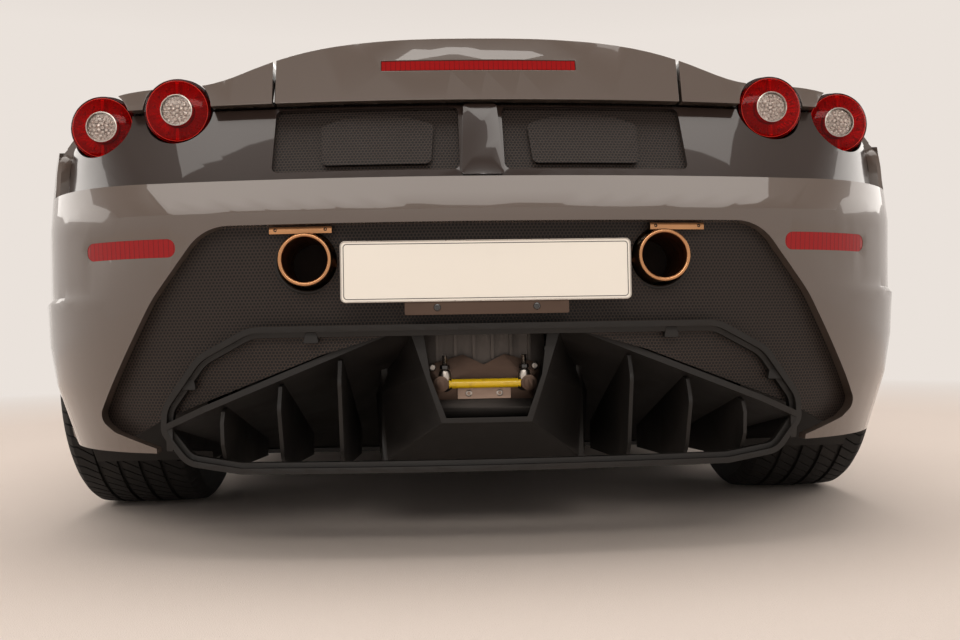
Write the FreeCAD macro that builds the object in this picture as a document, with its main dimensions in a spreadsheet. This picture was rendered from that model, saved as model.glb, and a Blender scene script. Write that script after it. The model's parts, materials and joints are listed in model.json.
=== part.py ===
"""A two-seat, mid-engined supercar: body panels, glass, cabin, running gear and wheels.

Millimetres. +Z is up, the nose points to -Y, the tail to +Y and the car's left side to +X.
The origin is on the ground, midway along and across the car.
"""
import FreeCAD, Part
import math
import os
import Sketcher
from FreeCAD import Placement, Rotation, Vector

doc = FreeCAD.newDocument("supercar")

# Driving sizes: name, value in mm (or degrees, or a count), what it measures.
SIZES = (
    ("car_length", 4512, "nose to tail"),
    ("car_width", 1923, "over the rear wheel arches"),
    ("car_height", 1207, "ground to the roof's highest control line"),
    ("wheelbase", 2600, "front axle to rear axle"),
    ("front_overhang", 1060, "nose to front axle"),
    ("ride_height", 130, "ground to the body's lower edge"),
    ("skin_wall", 30, "body panel with its frame"),
    ("door_wall", 90, "whole door, skin to trim"),
    ("glass_wall", 6, "window glass"),
    ("seam", 0.3, "joint between fixed panels"),
    ("shut_gap", 6, "gap round doors and lids"),
    # Front wheels
    ("front_tyre_radius", 323, "to the tread"),
    ("front_tyre_width", 235, "over the sidewalls"),
    ("front_track", 1668, "between wheel centres"),
    ("front_arch_radius", 362, "wheel opening in the wing"),
    # Rear wheels
    ("rear_tyre_radius", 341, "to the tread"),
    ("rear_tyre_width", 285, "over the sidewalls"),
    ("rear_track", 1616, "between wheel centres"),
    ("rear_arch_radius", 378, "wheel opening in the quarter"),
    # Rims, discs and hubs
    ("rim_radius", 241.3, "bead seat of a 19 inch rim"),
    ("rim_wall", 10, "barrel thickness"),
    ("rim_lip", 9, "flange above the bead seat"),
    ("spoke_depth", 34, "spoke face to back"),
    ("spoke_pairs", 5, "number of double spokes"),
    ("hub_radius", 72, "solid centre of the rim"),
    ("front_disc_radius", 197, "brake disc"),
    ("rear_disc_radius", 175, "brake disc"),
    ("disc_wall", 32, "ventilated disc"),
    ("stub_radius", 25, "wheel's stub in its bearing"),
    ("shaft_radius", 19, "drive shaft"),
    ("running_gap", 0.4, "radial clearance of a shaft"),
    # Where the body is split
    ("bumper_seam", 404, "front bumper's joint, ahead of the front axle"),
    ("door_front", 498.5, "door's front edge, behind the front axle"),
    ("door_length", 1094.5, "door's front edge to rear edge"),
    ("door_bottom", 245, "door's lower edge above ground"),
    ("belt_height", 812, "door glass meets the door"),
    ("bulkhead_wall", 36, "rear cabin bulkhead"),
    ("lid_rear", 291, "front lid's hinge edge, behind the front axle"),
    ("lid_length", 1095, "front lid, nose edge to hinge edge"),
    ("lid_edge_height", 660, "bonnet at the lid's edges, about where the leaning faces meet the skin"),
    ("lid_front_half", 430, "front lid's half width at its nose edge"),
    ("lid_rear_half", 600, "front lid's half width at its hinge edge"),
    ("engine_lid_front", 904, "engine lid's hinge edge, ahead of the rear axle"),
    ("engine_lid_half", 395, "engine lid's half width"),
    ("lid_glass_front", 804, "engine window's front edge, ahead of the rear axle"),
    ("lid_glass_length", 900, "engine window along the car"),
    # Tail
    ("bumper_bottom", 200, "rear bumper's lower edge"),
    ("bumper_front", 482, "rear bumper's front edge, ahead of the tail"),
    ("crease_height", 633, "sharp crease round the rear bumper"),
    ("panel_bottom", 700, "rear bumper's top edge, where the dark panel starts"),
    ("panel_top", 863, "dark panel's top edge, under the lid's lip"),
    ("deck_height", 987, "engine lid's rear lip"),
    ("panel_recess", 25, "dark panel's depth behind the body line"),
    ("tail_corner_angle", 22.4, "tail corner's side line, off the car's length"),
    ("tail_bow_radius", 3181, "tail's curve in plan"),
    ("lamp_radius", 64, "round tail lamp"),
    ("lamp_gap", 5, "dark ring round a tail lamp"),
    ("outer_lamp_x", 756, "outer tail lamp's centre"),
    ("outer_lamp_height", 841, "outer tail lamp's centre"),
    ("inner_lamp_x", 591, "inner tail lamp's centre"),
    ("inner_lamp_height", 859, "inner tail lamp's centre"),
    ("plate_width", 520, "number plate"),
    ("plate_height", 110, "number plate"),
    ("plate_centre", 524, "number plate's centre above ground"),
    ("pipe_radius", 46, "exhaust tip"),
    ("pipe_wall", 5, "exhaust tip"),
    ("pipe_x", 323, "exhaust tip from the middle"),
    ("pipe_height", 548, "exhaust tip's centre"),
    ("mesh_wall", 8, "rear mesh panel"),
    ("fin_wall", 7, "diffuser fin"),
    ("diffuser_wall", 12, "diffuser skin"),
    ("diffuser_length", 700, "diffuser's run ahead of the tail"),
    ("diffuser_bead", 11, "rounded outer edge of the diffuser's rim"),
    ("bucket_length", 168, "bucket between the diffuser's channels, along the car"),
    # Cabin
    ("steering_wheel_radius", 180, "to the rim's middle"),
    ("steering_wheel_grip", 15, "rim's half thickness"),
    ("steering_wheel_x", 370, "from the car's middle"),
    ("column_rake", 22, "column above the horizontal"),
    ("seat_width", 500, "over the bolsters"),
)

sheet = doc.addObject("Spreadsheet::Sheet", "Sizes")
for row, (name, value, meaning) in enumerate(SIZES, 1):
    sheet.set(f"A{row}", meaning)
    sheet.set(f"B{row}", str(value))
    sheet.setAlias(f"B{row}", name)
doc.recompute()


class Size(float):
    """A number that keeps the spreadsheet formula it was worked out with."""

    def __new__(cls, value, formula=None):
        self = super().__new__(cls, value)
        self.formula = formula or repr(float(value))
        return self

    def _with(self, other, sign, flip=False):
        other = other if isinstance(other, Size) else Size(other)
        a, b = (other, self) if flip else (self, other)
        x, y = float(a), float(b)
        value = {"+": x + y, "-": x - y, "*": x * y}[sign] if sign != "/" else x / y
        return Size(value, f"({a.formula} {sign} {b.formula})")

    def __add__(self, other):
        return self._with(other, "+")

    def __radd__(self, other):
        return self._with(other, "+", True)

    def __sub__(self, other):
        return self._with(other, "-")

    def __rsub__(self, other):
        return self._with(other, "-", True)

    def __mul__(self, other):
        return self._with(other, "*")

    def __rmul__(self, other):
        return self._with(other, "*", True)

    def __truediv__(self, other):
        return self._with(other, "/")

    def __neg__(self):
        return Size(-float(self), f"(-1 * {self.formula})")


class Sizes:
    """The spreadsheet's cells by name."""


for name, value, meaning in SIZES:
    setattr(Sizes, name, Size(float(sheet.get(name)), f"Sizes.{name}"))
S = Sizes

# Places that follow from the driving sizes.
NOSE = -S.car_length / 2
TAIL = S.car_length / 2
FRONT_AXLE = NOSE + S.front_overhang
REAR_AXLE = FRONT_AXLE + S.wheelbase
DOOR_FRONT = FRONT_AXLE + S.door_front
DOOR_REAR = DOOR_FRONT + S.door_length
WING_REAR = DOOR_FRONT - S.shut_gap
QUARTER_FRONT = DOOR_REAR + S.shut_gap
BULKHEAD = QUARTER_FRONT + 1
LID_REAR = FRONT_AXLE + S.lid_rear
LID_FRONT = LID_REAR - S.lid_length
ENGINE_LID_FRONT = REAR_AXLE - S.engine_lid_front
BUMPER_SEAM = FRONT_AXLE - S.bumper_seam
REAR_BUMPER_FRONT = TAIL - S.bumper_front
TAIL_FRAME = REAR_BUMPER_FRONT + 26
LAMP_HOLE = S.lamp_radius + S.lamp_gap
HINGE_X = S.car_width / 2 - 15
TAIL_PANEL_HALF = 852
BEYOND = 1400
ORIGIN = Vector(0, 0, 0)
ACROSS = Vector(1, 0, 0)
UP = Vector(0, 0, 1)


def bind(obj, prop, size):
    """Set a property, by formula where the size comes from the spreadsheet."""
    if isinstance(size, Size) and "Sizes." in size.formula:
        obj.setExpression(prop, size.formula)
    else:
        setattr(obj, prop, float(size))


def to_space(axis, u, v, w):
    return {"x": Vector(w, u, v), "y": Vector(u, w, v), "z": Vector(u, v, w)}[axis]


def outline(points, radius, axis, level):
    """A closed wire through flat points, each corner rounded by its own or the common radius."""
    flat = [Vector(p[0], p[1], 0) for p in points]
    radii = [p[2] if len(p) > 2 else radius for p in points]
    count = len(flat)
    corners = []
    for i, point in enumerate(flat):
        back = flat[i - 1] - point
        ahead = flat[(i + 1) % count] - point
        if radii[i] <= 0:
            corners.append((point,))
            continue
        half = back.getAngle(ahead) / 2
        reach = min(radii[i] / math.tan(half), 0.48 * back.Length, 0.48 * ahead.Length)
        rounding = reach * math.tan(half)
        back.normalize()
        ahead.normalize()
        middle = (back + ahead).normalize()
        centre = point + middle * (rounding / math.sin(half))
        corners.append((point + back * reach, centre - middle * rounding, point + ahead * reach))
    solid = [[to_space(axis, p.x, p.y, level) for p in corner] for corner in corners]
    edges = []
    for i, corner in enumerate(solid):
        if len(corner) == 3:
            edges.append(Part.Arc(*corner).toShape())
        following = solid[(i + 1) % count][0]
        if corner[-1].distanceToPoint(following) > 1e-6:
            edges.append(Part.LineSegment(corner[-1], following).toShape())
    return Part.Wire(edges)


def prism(points, axis, low, high, radius=0):
    """Flat points pushed along an axis. x takes (y, z), y takes (x, z) and z takes (x, y)."""
    face = Part.Face(outline(points, radius, axis, low))
    return face.extrude(to_space(axis, 0, 0, float(high) - float(low)))


def block(x0, x1, y0, y1, z0, z1):
    return Part.makeBox(x1 - x0, y1 - y0, z1 - z0, Vector(x0, y0, z0))


def slab(y0, y1, z0=0, z1=BEYOND):
    """Everything between two lengths and two heights."""
    return block(-BEYOND, BEYOND, y0, y1, z0, z1)


def rod(radius, start, end):
    span = Vector(*end) - Vector(*start)
    return Part.makeCylinder(radius, span.Length, Vector(*start), span)


def mirrored(shape):
    return shape.mirror(ORIGIN, ACROSS)


def both(shape):
    """A shape and its twin on the car's other side."""
    return Part.makeCompound([shape, mirrored(shape)])


def flipped(points):
    """An outline on the other side of the car, still running the same way round."""
    return [(-p[0],) + tuple(p[1:]) for p in reversed(points)]


def joined(shapes):
    """One solid from several, with split faces merged where that leaves it sound."""
    first, *rest = shapes
    whole = first.fuse(rest)
    merged = whole.removeSplitter()
    return merged if merged.isValid() else whole


# Body sections, nose to tail. The first column is the place along the car: 0 the nose, 1 the
# front axle, 2 the rear axle, 3 the tail. Then, in thousandths of the car's height or half
# width: height at the middle; half width and height at the roof or bonnet rail; at the belt or
# the valley beside it; at the crest of the wing; and the half width at the widest point.
SECTIONS = (
    (0.000, 327, 260, 326, 437, 319, 541, 302, 582),
    (0.000, 377, 343, 374, 582, 365, 718, 344, 759),
    (0.081, 431, 374, 427, 666, 414, 832, 389, 900),
    (0.289, 490, 416, 485, 666, 485, 848, 505, 952),
    (0.572, 543, 437, 539, 624, 551, 832, 592, 983),
    (1.023, 590, 458, 587, 645, 598, 822, 636, 1001),
    (1.114, 642, 478, 636, 676, 634, 853, 656, 988),
    (1.229, 771, 520, 750, 749, 663, 894, 655, 972),
    (1.364, 936, 541, 911, 801, 675, 915, 663, 962),
    (1.518, 1000, 520, 969, 822, 688, 926, 675, 962),
    (1.672, 982, 489, 944, 811, 704, 931, 696, 978),
    (1.825, 924, 447, 899, 770, 725, 926, 733, 1001),
    (2.000, 857, 395, 845, 666, 733, 894, 769, 1009),
    (2.465, 816, 354, 808, 582, 742, 832, 769, 983),
    (2.793, 819, 322, 808, 551, 740, 790, 764, 941),
    (3.000, 829, 322, 816, 551, 740, 770, 758, 920),
)
PLACES = (NOSE, FRONT_AXLE, REAR_AXLE, TAIL)


def along_car(place):
    """The length at a place between two of the nose, the axles and the tail."""
    span = min(int(place), len(PLACES) - 2)
    start, end = float(PLACES[span]), float(PLACES[span + 1])
    return start + (end - start) * (place - span)


def body_section(row, inset, floor):
    """Control points of one cross section, moved inwards by the inset."""
    place, zc, xr, zr, xb, zb, xs, zs, xw = row
    wide = S.car_width / 2000
    tall = S.car_height / 1000
    xr, xb, xs, xw = (v * wide for v in (xr, xb, xs, xw))
    zc, zr, zb, zs = (v * tall for v in (zc, zr, zb, zs))
    side = zs - S.ride_height
    half = [(0, zc), (xr / 2, zc), (xr, zr), ((xr + xb) / 2 + 12, (zr + zb) / 2 + 6), (xb, zb),
            (xs, zs), (xw, zs - 0.28 * side), (xw, zs - 0.6 * side),
            (xw - 22, S.ride_height + 0.2 * side), (xw - 60, S.ride_height)]
    half = [Vector(float(x), float(z), 0) for x, z in half]
    moved = []
    for i, point in enumerate(half):
        run = half[min(i + 1, len(half) - 1)] - half[max(i - 1, 0)]
        normal = Vector(-run.y, run.x, 0).normalize()
        moved.append(point - normal * inset)
    moved[0].x = 0
    moved[-1].y = float(floor)
    return [Vector(-p.x, p.y, 0) for p in reversed(moved[1:])] + moved


def clamped_knots(count):
    return list(range(count - 2)), [4] + [1] * (count - 4) + [4]


def body_net(inset, floor):
    """One smooth closed body under the cross sections, with flat ends and a flat bottom."""
    start = float(NOSE) + inset
    poles = []
    for row in SECTIONS:
        length = max(along_car(row[0]), start)
        poles.append([Vector(p.x, length, p.y) for p in body_section(row, inset, floor)])
    u_knots, u_mults = clamped_knots(len(poles))
    v_knots, v_mults = clamped_knots(len(poles[0]))
    surface = Part.BSplineSurface()
    surface.buildFromPolesMultsKnots(poles, u_mults, v_mults, u_knots, v_knots, False, False, 3, 3)
    faces = [surface.toShape()]
    for knot, ends in ((u_knots[0], poles[0]), (u_knots[-1], poles[-1])):
        edges = [surface.uIso(knot).toShape(), Part.LineSegment(ends[0], ends[-1]).toShape()]
        faces.append(Part.Face(Part.Wire(Part.sortEdges(edges)[0])))
    floor_edges = [surface.vIso(v_knots[0]).toShape(), surface.vIso(v_knots[-1]).toShape()]
    for ends in (poles[0], poles[-1]):
        floor_edges.append(Part.LineSegment(ends[0], ends[-1]).toShape())
    faces.append(Part.Face(Part.Wire(Part.sortEdges(floor_edges)[0])))
    shell = Part.makeShell(faces)
    shell.sewShape()
    return Part.Solid(shell)


# Tail levels: height, how far the bow's middle is ahead of the tail, the half width where the
# corner starts, and the corner's radius.
TAIL_LEVELS = (
    (100, 66, 862, 380),
    (320, 41, 938, 400),
    (400, 32, 952, 400),
    (486, 21, 957, 400),
    (495, 20, 948, 400),
    (S.crease_height, 0, 950, 400),
    (S.panel_bottom, 56, 945, 330),
    (S.panel_top, 146, 930, 200),
    (S.deck_height, 176, 925, 180),
    (S.car_height, 206, 925, 180),
)


def tail_outline(level, inset):
    """Plan of the tail at one height: straight side lines, round corners and a bowed middle."""
    height, back, side, radius = (float(v) for v in level)
    lean = math.radians(S.tail_corner_angle)
    bow = float(S.tail_bow_radius) - inset
    radius = radius - inset
    start = Vector(side - inset, float(REAR_BUMPER_FRONT) - 10, 0)
    run = Vector(-math.sin(lean), math.cos(lean), 0)
    inward = Vector(-math.cos(lean), -math.sin(lean), 0)
    bow_centre = Vector(0, float(TAIL) - back - float(S.tail_bow_radius), 0)
    base = start + inward * radius - bow_centre
    along = base.dot(run)
    travel = -along + math.sqrt(along ** 2 - base.dot(base) + (bow - radius) ** 2)
    centre = start + inward * radius + run * travel
    touch_side = start + run * travel
    out = (centre - bow_centre).normalize()
    touch_bow = bow_centre + out * bow
    middle = centre + (out - inward).normalize() * radius
    right = [start, touch_side, middle, touch_bow]
    right = [Vector(p.x, p.y, height) for p in right]
    left = [Vector(-p.x, p.y, height) for p in right]
    top = Vector(0, float(TAIL) - back - inset, height)
    corners = [Vector(x * BEYOND, y, height) for x, y in ((1, start.y), (1, -2 * BEYOND))]
    corners += [Vector(-p.x, p.y, height) for p in reversed(corners)]
    path = [right[0], *corners, left[0]]
    edges = [Part.LineSegment(a, b).toShape() for a, b in zip(path, path[1:])]
    edges.append(Part.LineSegment(left[0], left[1]).toShape())
    edges.append(Part.Arc(left[1], left[2], left[3]).toShape())
    edges.append(Part.Arc(left[3], top, right[3]).toShape())
    edges.append(Part.Arc(right[3], right[2], right[1]).toShape())
    edges.append(Part.LineSegment(right[1], right[0]).toShape())
    return Part.Wire(edges)


def tail_cap(inset):
    return Part.makeLoft([tail_outline(level, inset) for level in TAIL_LEVELS], True, True)


_hulls = {}


def hull(inset=0, floor=None):
    """The whole body as a solid, its faces moved inwards by the inset."""
    floor = float(S.ride_height if floor is None else floor)
    key = (round(float(inset), 4), floor)
    if key not in _hulls:
        _hulls[key] = body_net(key[0], floor).common(tail_cap(key[0]))
    return _hulls[key]


def shell(outer, inner):
    """The body between two insets, open underneath."""
    return hull(outer).cut(hull(inner, S.ride_height - 50))


WALL_SEAT = S.skin_wall + S.seam
SKIN = shell(0, S.skin_wall)
UNDER_SKIN = hull(WALL_SEAT)

parts = []


def part(label, shape):
    """A piece whose shape follows the free-form body."""
    solids = shape.Solids
    obj = doc.addObject("Part::Feature", label)
    obj.Shape = solids[0] if len(solids) == 1 else Part.makeCompound(solids)
    obj.Label = label
    parts.append(obj)
    return obj


def named(obj, label):
    """A piece built as document features."""
    obj.Label = label
    parts.append(obj)
    return obj


# Openings in the body skin.

# The openings start outboard of the bonnet's low middle, so that they leave its skin whole.
ARCH_INSIDE = 700


def wheel_opening(axle, radius, tyre_radius, side):
    return rod(radius, (side * ARCH_INSIDE, axle, tyre_radius), (side * BEYOND, axle, tyre_radius))


ARCHES = Part.makeCompound([
    wheel_opening(axle, radius, tyre, side)
    for axle, radius, tyre in ((FRONT_AXLE, S.front_arch_radius, S.front_tyre_radius),
                               (REAR_AXLE, S.rear_arch_radius, S.rear_tyre_radius))
    for side in (-1, 1)])

LID_LEAN = 0.2


def front_lid_tool(grow):
    """Through the bonnet round the lid. It leans, so that the lid's nose edge lifts clear."""
    front, rear = S.lid_front_half + grow, S.lid_rear_half + grow
    nose, hinge = LID_FRONT - grow, LID_REAR + grow
    base = 350
    flat = Part.Face(outline([(-front, nose, 60), (front, nose, 60), (rear, hinge, 20),
                              (-rear, hinge, 20)], 0, "z", base))
    tool = flat.extrude(Vector(0, -LID_LEAN * 700, 700))
    tool.translate(Vector(0, LID_LEAN * (S.lid_edge_height - base), 0))
    return tool



def engine_lid_tool(grow):
    half = S.engine_lid_half + grow
    front = ENGINE_LID_FRONT - grow
    return prism([(-half, front, 40), (half, front, 40), (half, TAIL + BEYOND), (-half, TAIL + BEYOND)],
                 "z", S.panel_top - grow, BEYOND)


def engine_window_tool(grow):
    front = REAR_AXLE - S.lid_glass_front - grow
    rear = front + S.lid_glass_length + 2 * grow
    return prism([(-300 - grow, front), (300 + grow, front), (325 + grow, rear), (-325 - grow, rear)],
                 "z", S.panel_top, BEYOND, 70)


def windscreen_tool(grow):
    base, top = FRONT_AXLE + 406 - grow, FRONT_AXLE + 1006 + grow
    points = [(-668 - grow, base, 90), (-330, base - 34, 700), (330, base - 34, 700),
              (668 + grow, base, 90),
              (505 + grow, top, 90), (250, top + 18, 700), (-250, top + 18, 700), (-505 - grow, top, 90)]
    return prism(points, "z", 600, BEYOND)


def door_glass_tool(grow, side=1):
    """Side window opening, above the belt."""
    front, rear = DOOR_FRONT + 130 - grow, DOOR_REAR - 50 + grow
    low = S.belt_height - S.shut_gap / 2
    points = [(front, low), (rear, low), (rear, low + 50, 50), (rear - 165, 1072 + grow, 190),
              (rear - 420, 1106 + grow, 400), (front + 420, 1098 + grow, 60)]
    return prism(points, "x", 300 * side, 1100 * side)


def door_tool(grow):
    """Side outline of the door below the belt."""
    front, rear = DOOR_FRONT - grow, DOOR_REAR + grow
    low, high = S.door_bottom - grow, S.belt_height - S.shut_gap / 2 + grow
    points = [(front, low, 60), (rear - 60, low, 120), (rear, low + 260, 300), (rear, high), (front, high)]
    return prism(points, "x", -BEYOND, BEYOND)


REAR_OPENING = [(-505, 611, 95), (-608, 482, 300), (-736, 262, 38), (-700, 237, 30), (-612, 209),
                (-607, 150),
                (607, 150), (612, 209), (700, 237, 30), (736, 262, 38), (608, 482, 300), (505, 611, 95)]
REFLECTOR = [(558, 558), (739, 558), (739, 591), (558, 591)]
# Lamp: distance from the middle, height, and how far its face is ahead of the tail
LAMPS = [(side * x, z, ahead) for side in (-1, 1)
         for x, z, ahead in ((S.inner_lamp_x, S.inner_lamp_height, 196),
                             (S.outer_lamp_x, S.outer_lamp_height, 258))]
INTAKE = [(190, 195, 30), (640, 195, 60), (700, 265, 40), (560, 395, 60), (250, 395, 40)]
HEADLAMP = [(560, NOSE + 236, 40), (690, NOSE + 236, 60), (835, NOSE + 420, 120), (850, NOSE + 600, 30),
            (720, NOSE + 560, 80), (590, NOSE + 400, 120)]


def lamp_holes(radius, start):
    return Part.makeCompound([rod(radius, (x, start, z), (x, TAIL + 100, z)) for x, z, ahead in LAMPS])


def intake_tool(side):
    points = INTAKE if side > 0 else flipped(INTAKE)
    return prism(points, "y", NOSE - 100, NOSE + 420)


def headlamp_tool(side):
    points = HEADLAMP if side > 0 else flipped(HEADLAMP)
    return prism(points, "z", 300, BEYOND)


# Painted body panels

def front_bumper():
    nose = SKIN.common(slab(NOSE - 10, BUMPER_SEAM - S.seam))
    tools = [front_lid_tool(S.shut_gap)]
    tools += [tool(side) for tool in (intake_tool, headlamp_tool) for side in (-1, 1)]
    return nose.cut(tools)


def front_wings():
    wings = SKIN.common(slab(BUMPER_SEAM, WING_REAR))
    return wings.cut([front_lid_tool(S.shut_gap), windscreen_tool(0), ARCHES])


def roof():
    shape = SKIN.common(slab(WING_REAR + S.seam, QUARTER_FRONT - S.seam, S.belt_height + S.shut_gap / 2))
    return shape.cut([windscreen_tool(0)] + [door_glass_tool(S.shut_gap, side) for side in (-1, 1)])


def side_sills():
    low = SKIN.common(slab(WING_REAR + S.seam, QUARTER_FRONT - S.seam, 0, 600))
    sill = low.cut(door_tool(S.shut_gap))
    return sill.common(slab(WING_REAR, QUARTER_FRONT, 0, S.belt_height / 2))


def rear_quarters():
    skin = SKIN.common(slab(QUARTER_FRONT, TAIL + 10))
    bumper = slab(REAR_BUMPER_FRONT, TAIL + 10, 0, S.panel_bottom + S.seam)
    below = slab(REAR_AXLE + 200, TAIL, 0, S.rear_tyre_radius)
    panel = block(-TAIL_PANEL_HALF, TAIL_PANEL_HALF, TAIL_FRAME, TAIL + 10, S.panel_bottom, S.panel_top)
    return skin.cut([bumper, below, panel, engine_lid_tool(S.shut_gap),
                     lamp_holes(LAMP_HOLE, REAR_AXLE + 480),
                     ARCHES, both(side_intake_tool(0))])


def side_intake_tool(grow):
    """Air intake behind the door: tall at its front and drawn out to a point towards the rear."""
    front = BULKHEAD + S.bulkhead_wall + 8 - grow
    points = [(front, 498 - grow, 35), (front + 26, 706 + grow, 70), (front + 330 + grow, 770 + grow, 24),
              (front + 344 + grow, 744 - grow, 20), (front + 150, 566 - grow, 170)]
    return prism(points, "x", 600, BEYOND)


def rear_bumper():
    upper = slab(REAR_BUMPER_FRONT + S.seam, TAIL + 10, S.bumper_bottom, S.panel_bottom)
    lower = slab(REAR_AXLE + 200, TAIL, S.bumper_bottom, S.rear_tyre_radius - S.seam)
    shape = SKIN.common(upper.fuse(lower).removeSplitter())
    opening = prism(REAR_OPENING, "y", REAR_BUMPER_FRONT + 100, TAIL + 100)
    pockets = [reflector_tool(side) for side in (-1, 1)]
    return shape.cut([opening, ARCHES] + pockets)


def reflector_tool(side):
    points = REFLECTOR if side > 0 else flipped(REFLECTOR)
    outer = prism(points, "y", REAR_BUMPER_FRONT + 50, TAIL + 100, 15)
    return outer.cut(hull(8))


def front_lid():
    return SKIN.common(front_lid_tool(0))


def engine_lid():
    lid = SKIN.common(engine_lid_tool(0))
    strip = block(-190, 190, TAIL - 260, TAIL, 924, 945)
    return lid.cut([engine_window_tool(0), strip.cut(hull(8))])


def door(side):
    door_shell = hull().cut(hull(S.door_wall, S.ride_height - 50))
    shape = door_shell.common(door_tool(0)).common(block(700, BEYOND, NOSE, TAIL, 0, BEYOND))
    taper = 0.13
    inner_x, outer_x = 400, HINGE_X + 200
    rear, past = float(DOOR_REAR), float(DOOR_REAR) + 100
    wedge = prism([(outer_x, rear + (outer_x - HINGE_X) * taper), (outer_x, past), (inner_x, past),
                   (inner_x, rear - (HINGE_X - inner_x) * taper)], "z", 0, BEYOND)
    shape = shape.cut(wedge)
    return shape if side > 0 else mirrored(shape)


part("front_bumper", front_bumper())
part("front_wings", front_wings())
part("roof", roof())
part("side_sills", side_sills())
part("rear_quarters", rear_quarters())
part("rear_bumper", rear_bumper())
part("front_lid", front_lid())
part("engine_lid", engine_lid())
for side, name in ((1, "left"), (-1, "right")):
    part(f"door_{name}", door(side))


# Glass

def glass(tool):
    return shell(0, S.glass_wall).common(tool)


part("windscreen", glass(windscreen_tool(-S.seam)))
part("engine_lid_glass", glass(engine_window_tool(-S.seam)))
for side, name in ((1, "left"), (-1, "right")):
    window = glass(door_glass_tool(0, side))
    above = slab(NOSE, TAIL, S.belt_height - S.shut_gap / 2 + S.seam, BEYOND)
    part(f"door_glass_{name}", window.common(above))
part("headlamps", Part.makeCompound([SKIN.common(headlamp_tool(side)) for side in (1, -1)]))


# Tail pieces

PANEL_BACK = S.panel_recess + 12
VENT = [(42, 719), (395, 719), (395, 853), (42, 853)]
# The pressed-out middle of a vent's mesh, with its arched top
VENT_HUMP = [(96, 732), (300, 732), (306, 816, 14), (252, 836, 120), (150, 836, 120), (90, 816, 14)]
CENTRE_BLOCK = [(-40, 706), (40, 706), (32, 856), (-32, 856)]


def vents(outline_points, grow):
    """A tool through the dark panel on both sides, from points on the car's left."""
    middle_x = (VENT[0][0] + VENT[1][0]) / 2
    middle_z = (VENT[0][1] + VENT[2][1]) / 2
    moved = [(x + math.copysign(grow, x - middle_x), z + math.copysign(grow, z - middle_z), *rounding)
             for x, z, *rounding in outline_points]
    return both(prism(moved, "y", TAIL - 400, TAIL, 12))


def tail_panel():
    """Dark panel let in under the lid, with a wide vent on each side of its raised middle."""
    area = block(-TAIL_PANEL_HALF + S.seam, TAIL_PANEL_HALF - S.seam, TAIL_FRAME + 60, TAIL,
                 S.panel_bottom + S.seam, S.panel_top - S.shut_gap)
    panel = shell(S.panel_recess, PANEL_BACK).common(area).cut([vents(VENT, 0),
                                                                lamp_holes(LAMP_HOLE, TAIL_FRAME)])
    raised = shell(S.panel_recess - 14, PANEL_BACK).common(prism(CENTRE_BLOCK, "y", TAIL - 400, TAIL, 6))
    return joined([panel, raised])


def vent_meshes():
    """Mesh across each vent, pressed out towards the rear in its middle."""
    back = PANEL_BACK + S.seam + S.mesh_wall / 2
    flat = shell(PANEL_BACK + S.seam, back).common(vents(VENT, 10))
    hump = shell(S.panel_recess + 3, back).common(vents(VENT_HUMP, 0))
    whole = flat.fuse(hump)
    return whole.Solids


def rear_mesh():
    """Mesh behind the bumper's opening, with a hole round each exhaust tip, and across the vents."""
    band = shell(WALL_SEAT, WALL_SEAT + S.mesh_wall)
    wide = [(p[0] * 1.02, p[1] + 8 if p[1] > 300 else p[1] - 8) + tuple(p[2:]) for p in REAR_OPENING]
    panel = band.common(prism(wide, "y", REAR_BUMPER_FRONT + 100, TAIL + 100))
    panel = panel.cut(prism(CHANNEL_TOP, "y", TAIL - 500, TAIL + 10))
    pipes = [rod(S.pipe_radius + 9, (side * S.pipe_x, TAIL - 300, S.pipe_height),
                 (side * S.pipe_x, TAIL, S.pipe_height)) for side in (-1, 1)]
    return Part.makeCompound([panel.cut(pipes)] + vent_meshes())


DIFFUSER_RIM = [(-430, 430, 80), (-528, 379, 80), (-598, 286, 60), (-603, 238, 30), (-556, 177, 50),
                (-454, 161, 20),
                (454, 161, 20), (556, 177, 50), (603, 238, 30), (598, 286, 60), (528, 379, 80),
                (430, 430, 80)]
# The bucket's wall at its wide front and at its rim, on the car's left: top, waist and bottom
BUCKET_FRONT = ((165, 425), (214, 295), (206, 154))
BUCKET_RIM = ((142, 425), (113, 335), (84, 247))
# Everything under the two sloping channels and the bucket between them
CHANNEL_TOP = [(-2000, 100), (2000, 100), (900, 110), (640, 242), (600, 263), (300, 378), (140, 424),
               (-140, 424), (-300, 378), (-600, 263), (-640, 242), (-900, 110)]
# Fin: distance from the middle, and height of its upper end under the sloping roof
FINS = ((270, 366), (380, 320), (485, 276))
# A channel's roof where it ends: distance from the middle and height, inner side then outer
ROOF_END = ((140, 428), (592, 246))
CHANNEL_INSIDE = 190


def rim_band(outer, inner, start, wall):
    """A hoop that follows the tail's skin, from one offset of the rim's outline to the next."""
    wires = [outline(DIFFUSER_RIM, 0, "y", TAIL - 500)]
    wires += [wires[0].makeOffset2D(-float(by)) for by in (start, start + wall) if by]
    hoop = Part.Face(wires[-2]).cut(Part.Face(wires[-1]))
    return shell(outer, inner).common(hoop.extrude(Vector(0, 500, 0)))


CHANNEL_FRONT = TAIL - S.diffuser_length
CHANNEL_REAR = TAIL - 90
CHANNEL_BASE = S.ride_height + 12


def roof_height(x, place):
    """Underside of a channel's sloping roof."""
    (inner, high), (outer, low) = ROOF_END
    run = (place - CHANNEL_FRONT) / (CHANNEL_REAR - CHANNEL_FRONT)
    start = CHANNEL_INSIDE + (inner - CHANNEL_INSIDE) * run
    across = (x - start) / (outer - start)
    return CHANNEL_BASE + (high + (low - high) * across - CHANNEL_BASE) * run


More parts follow.
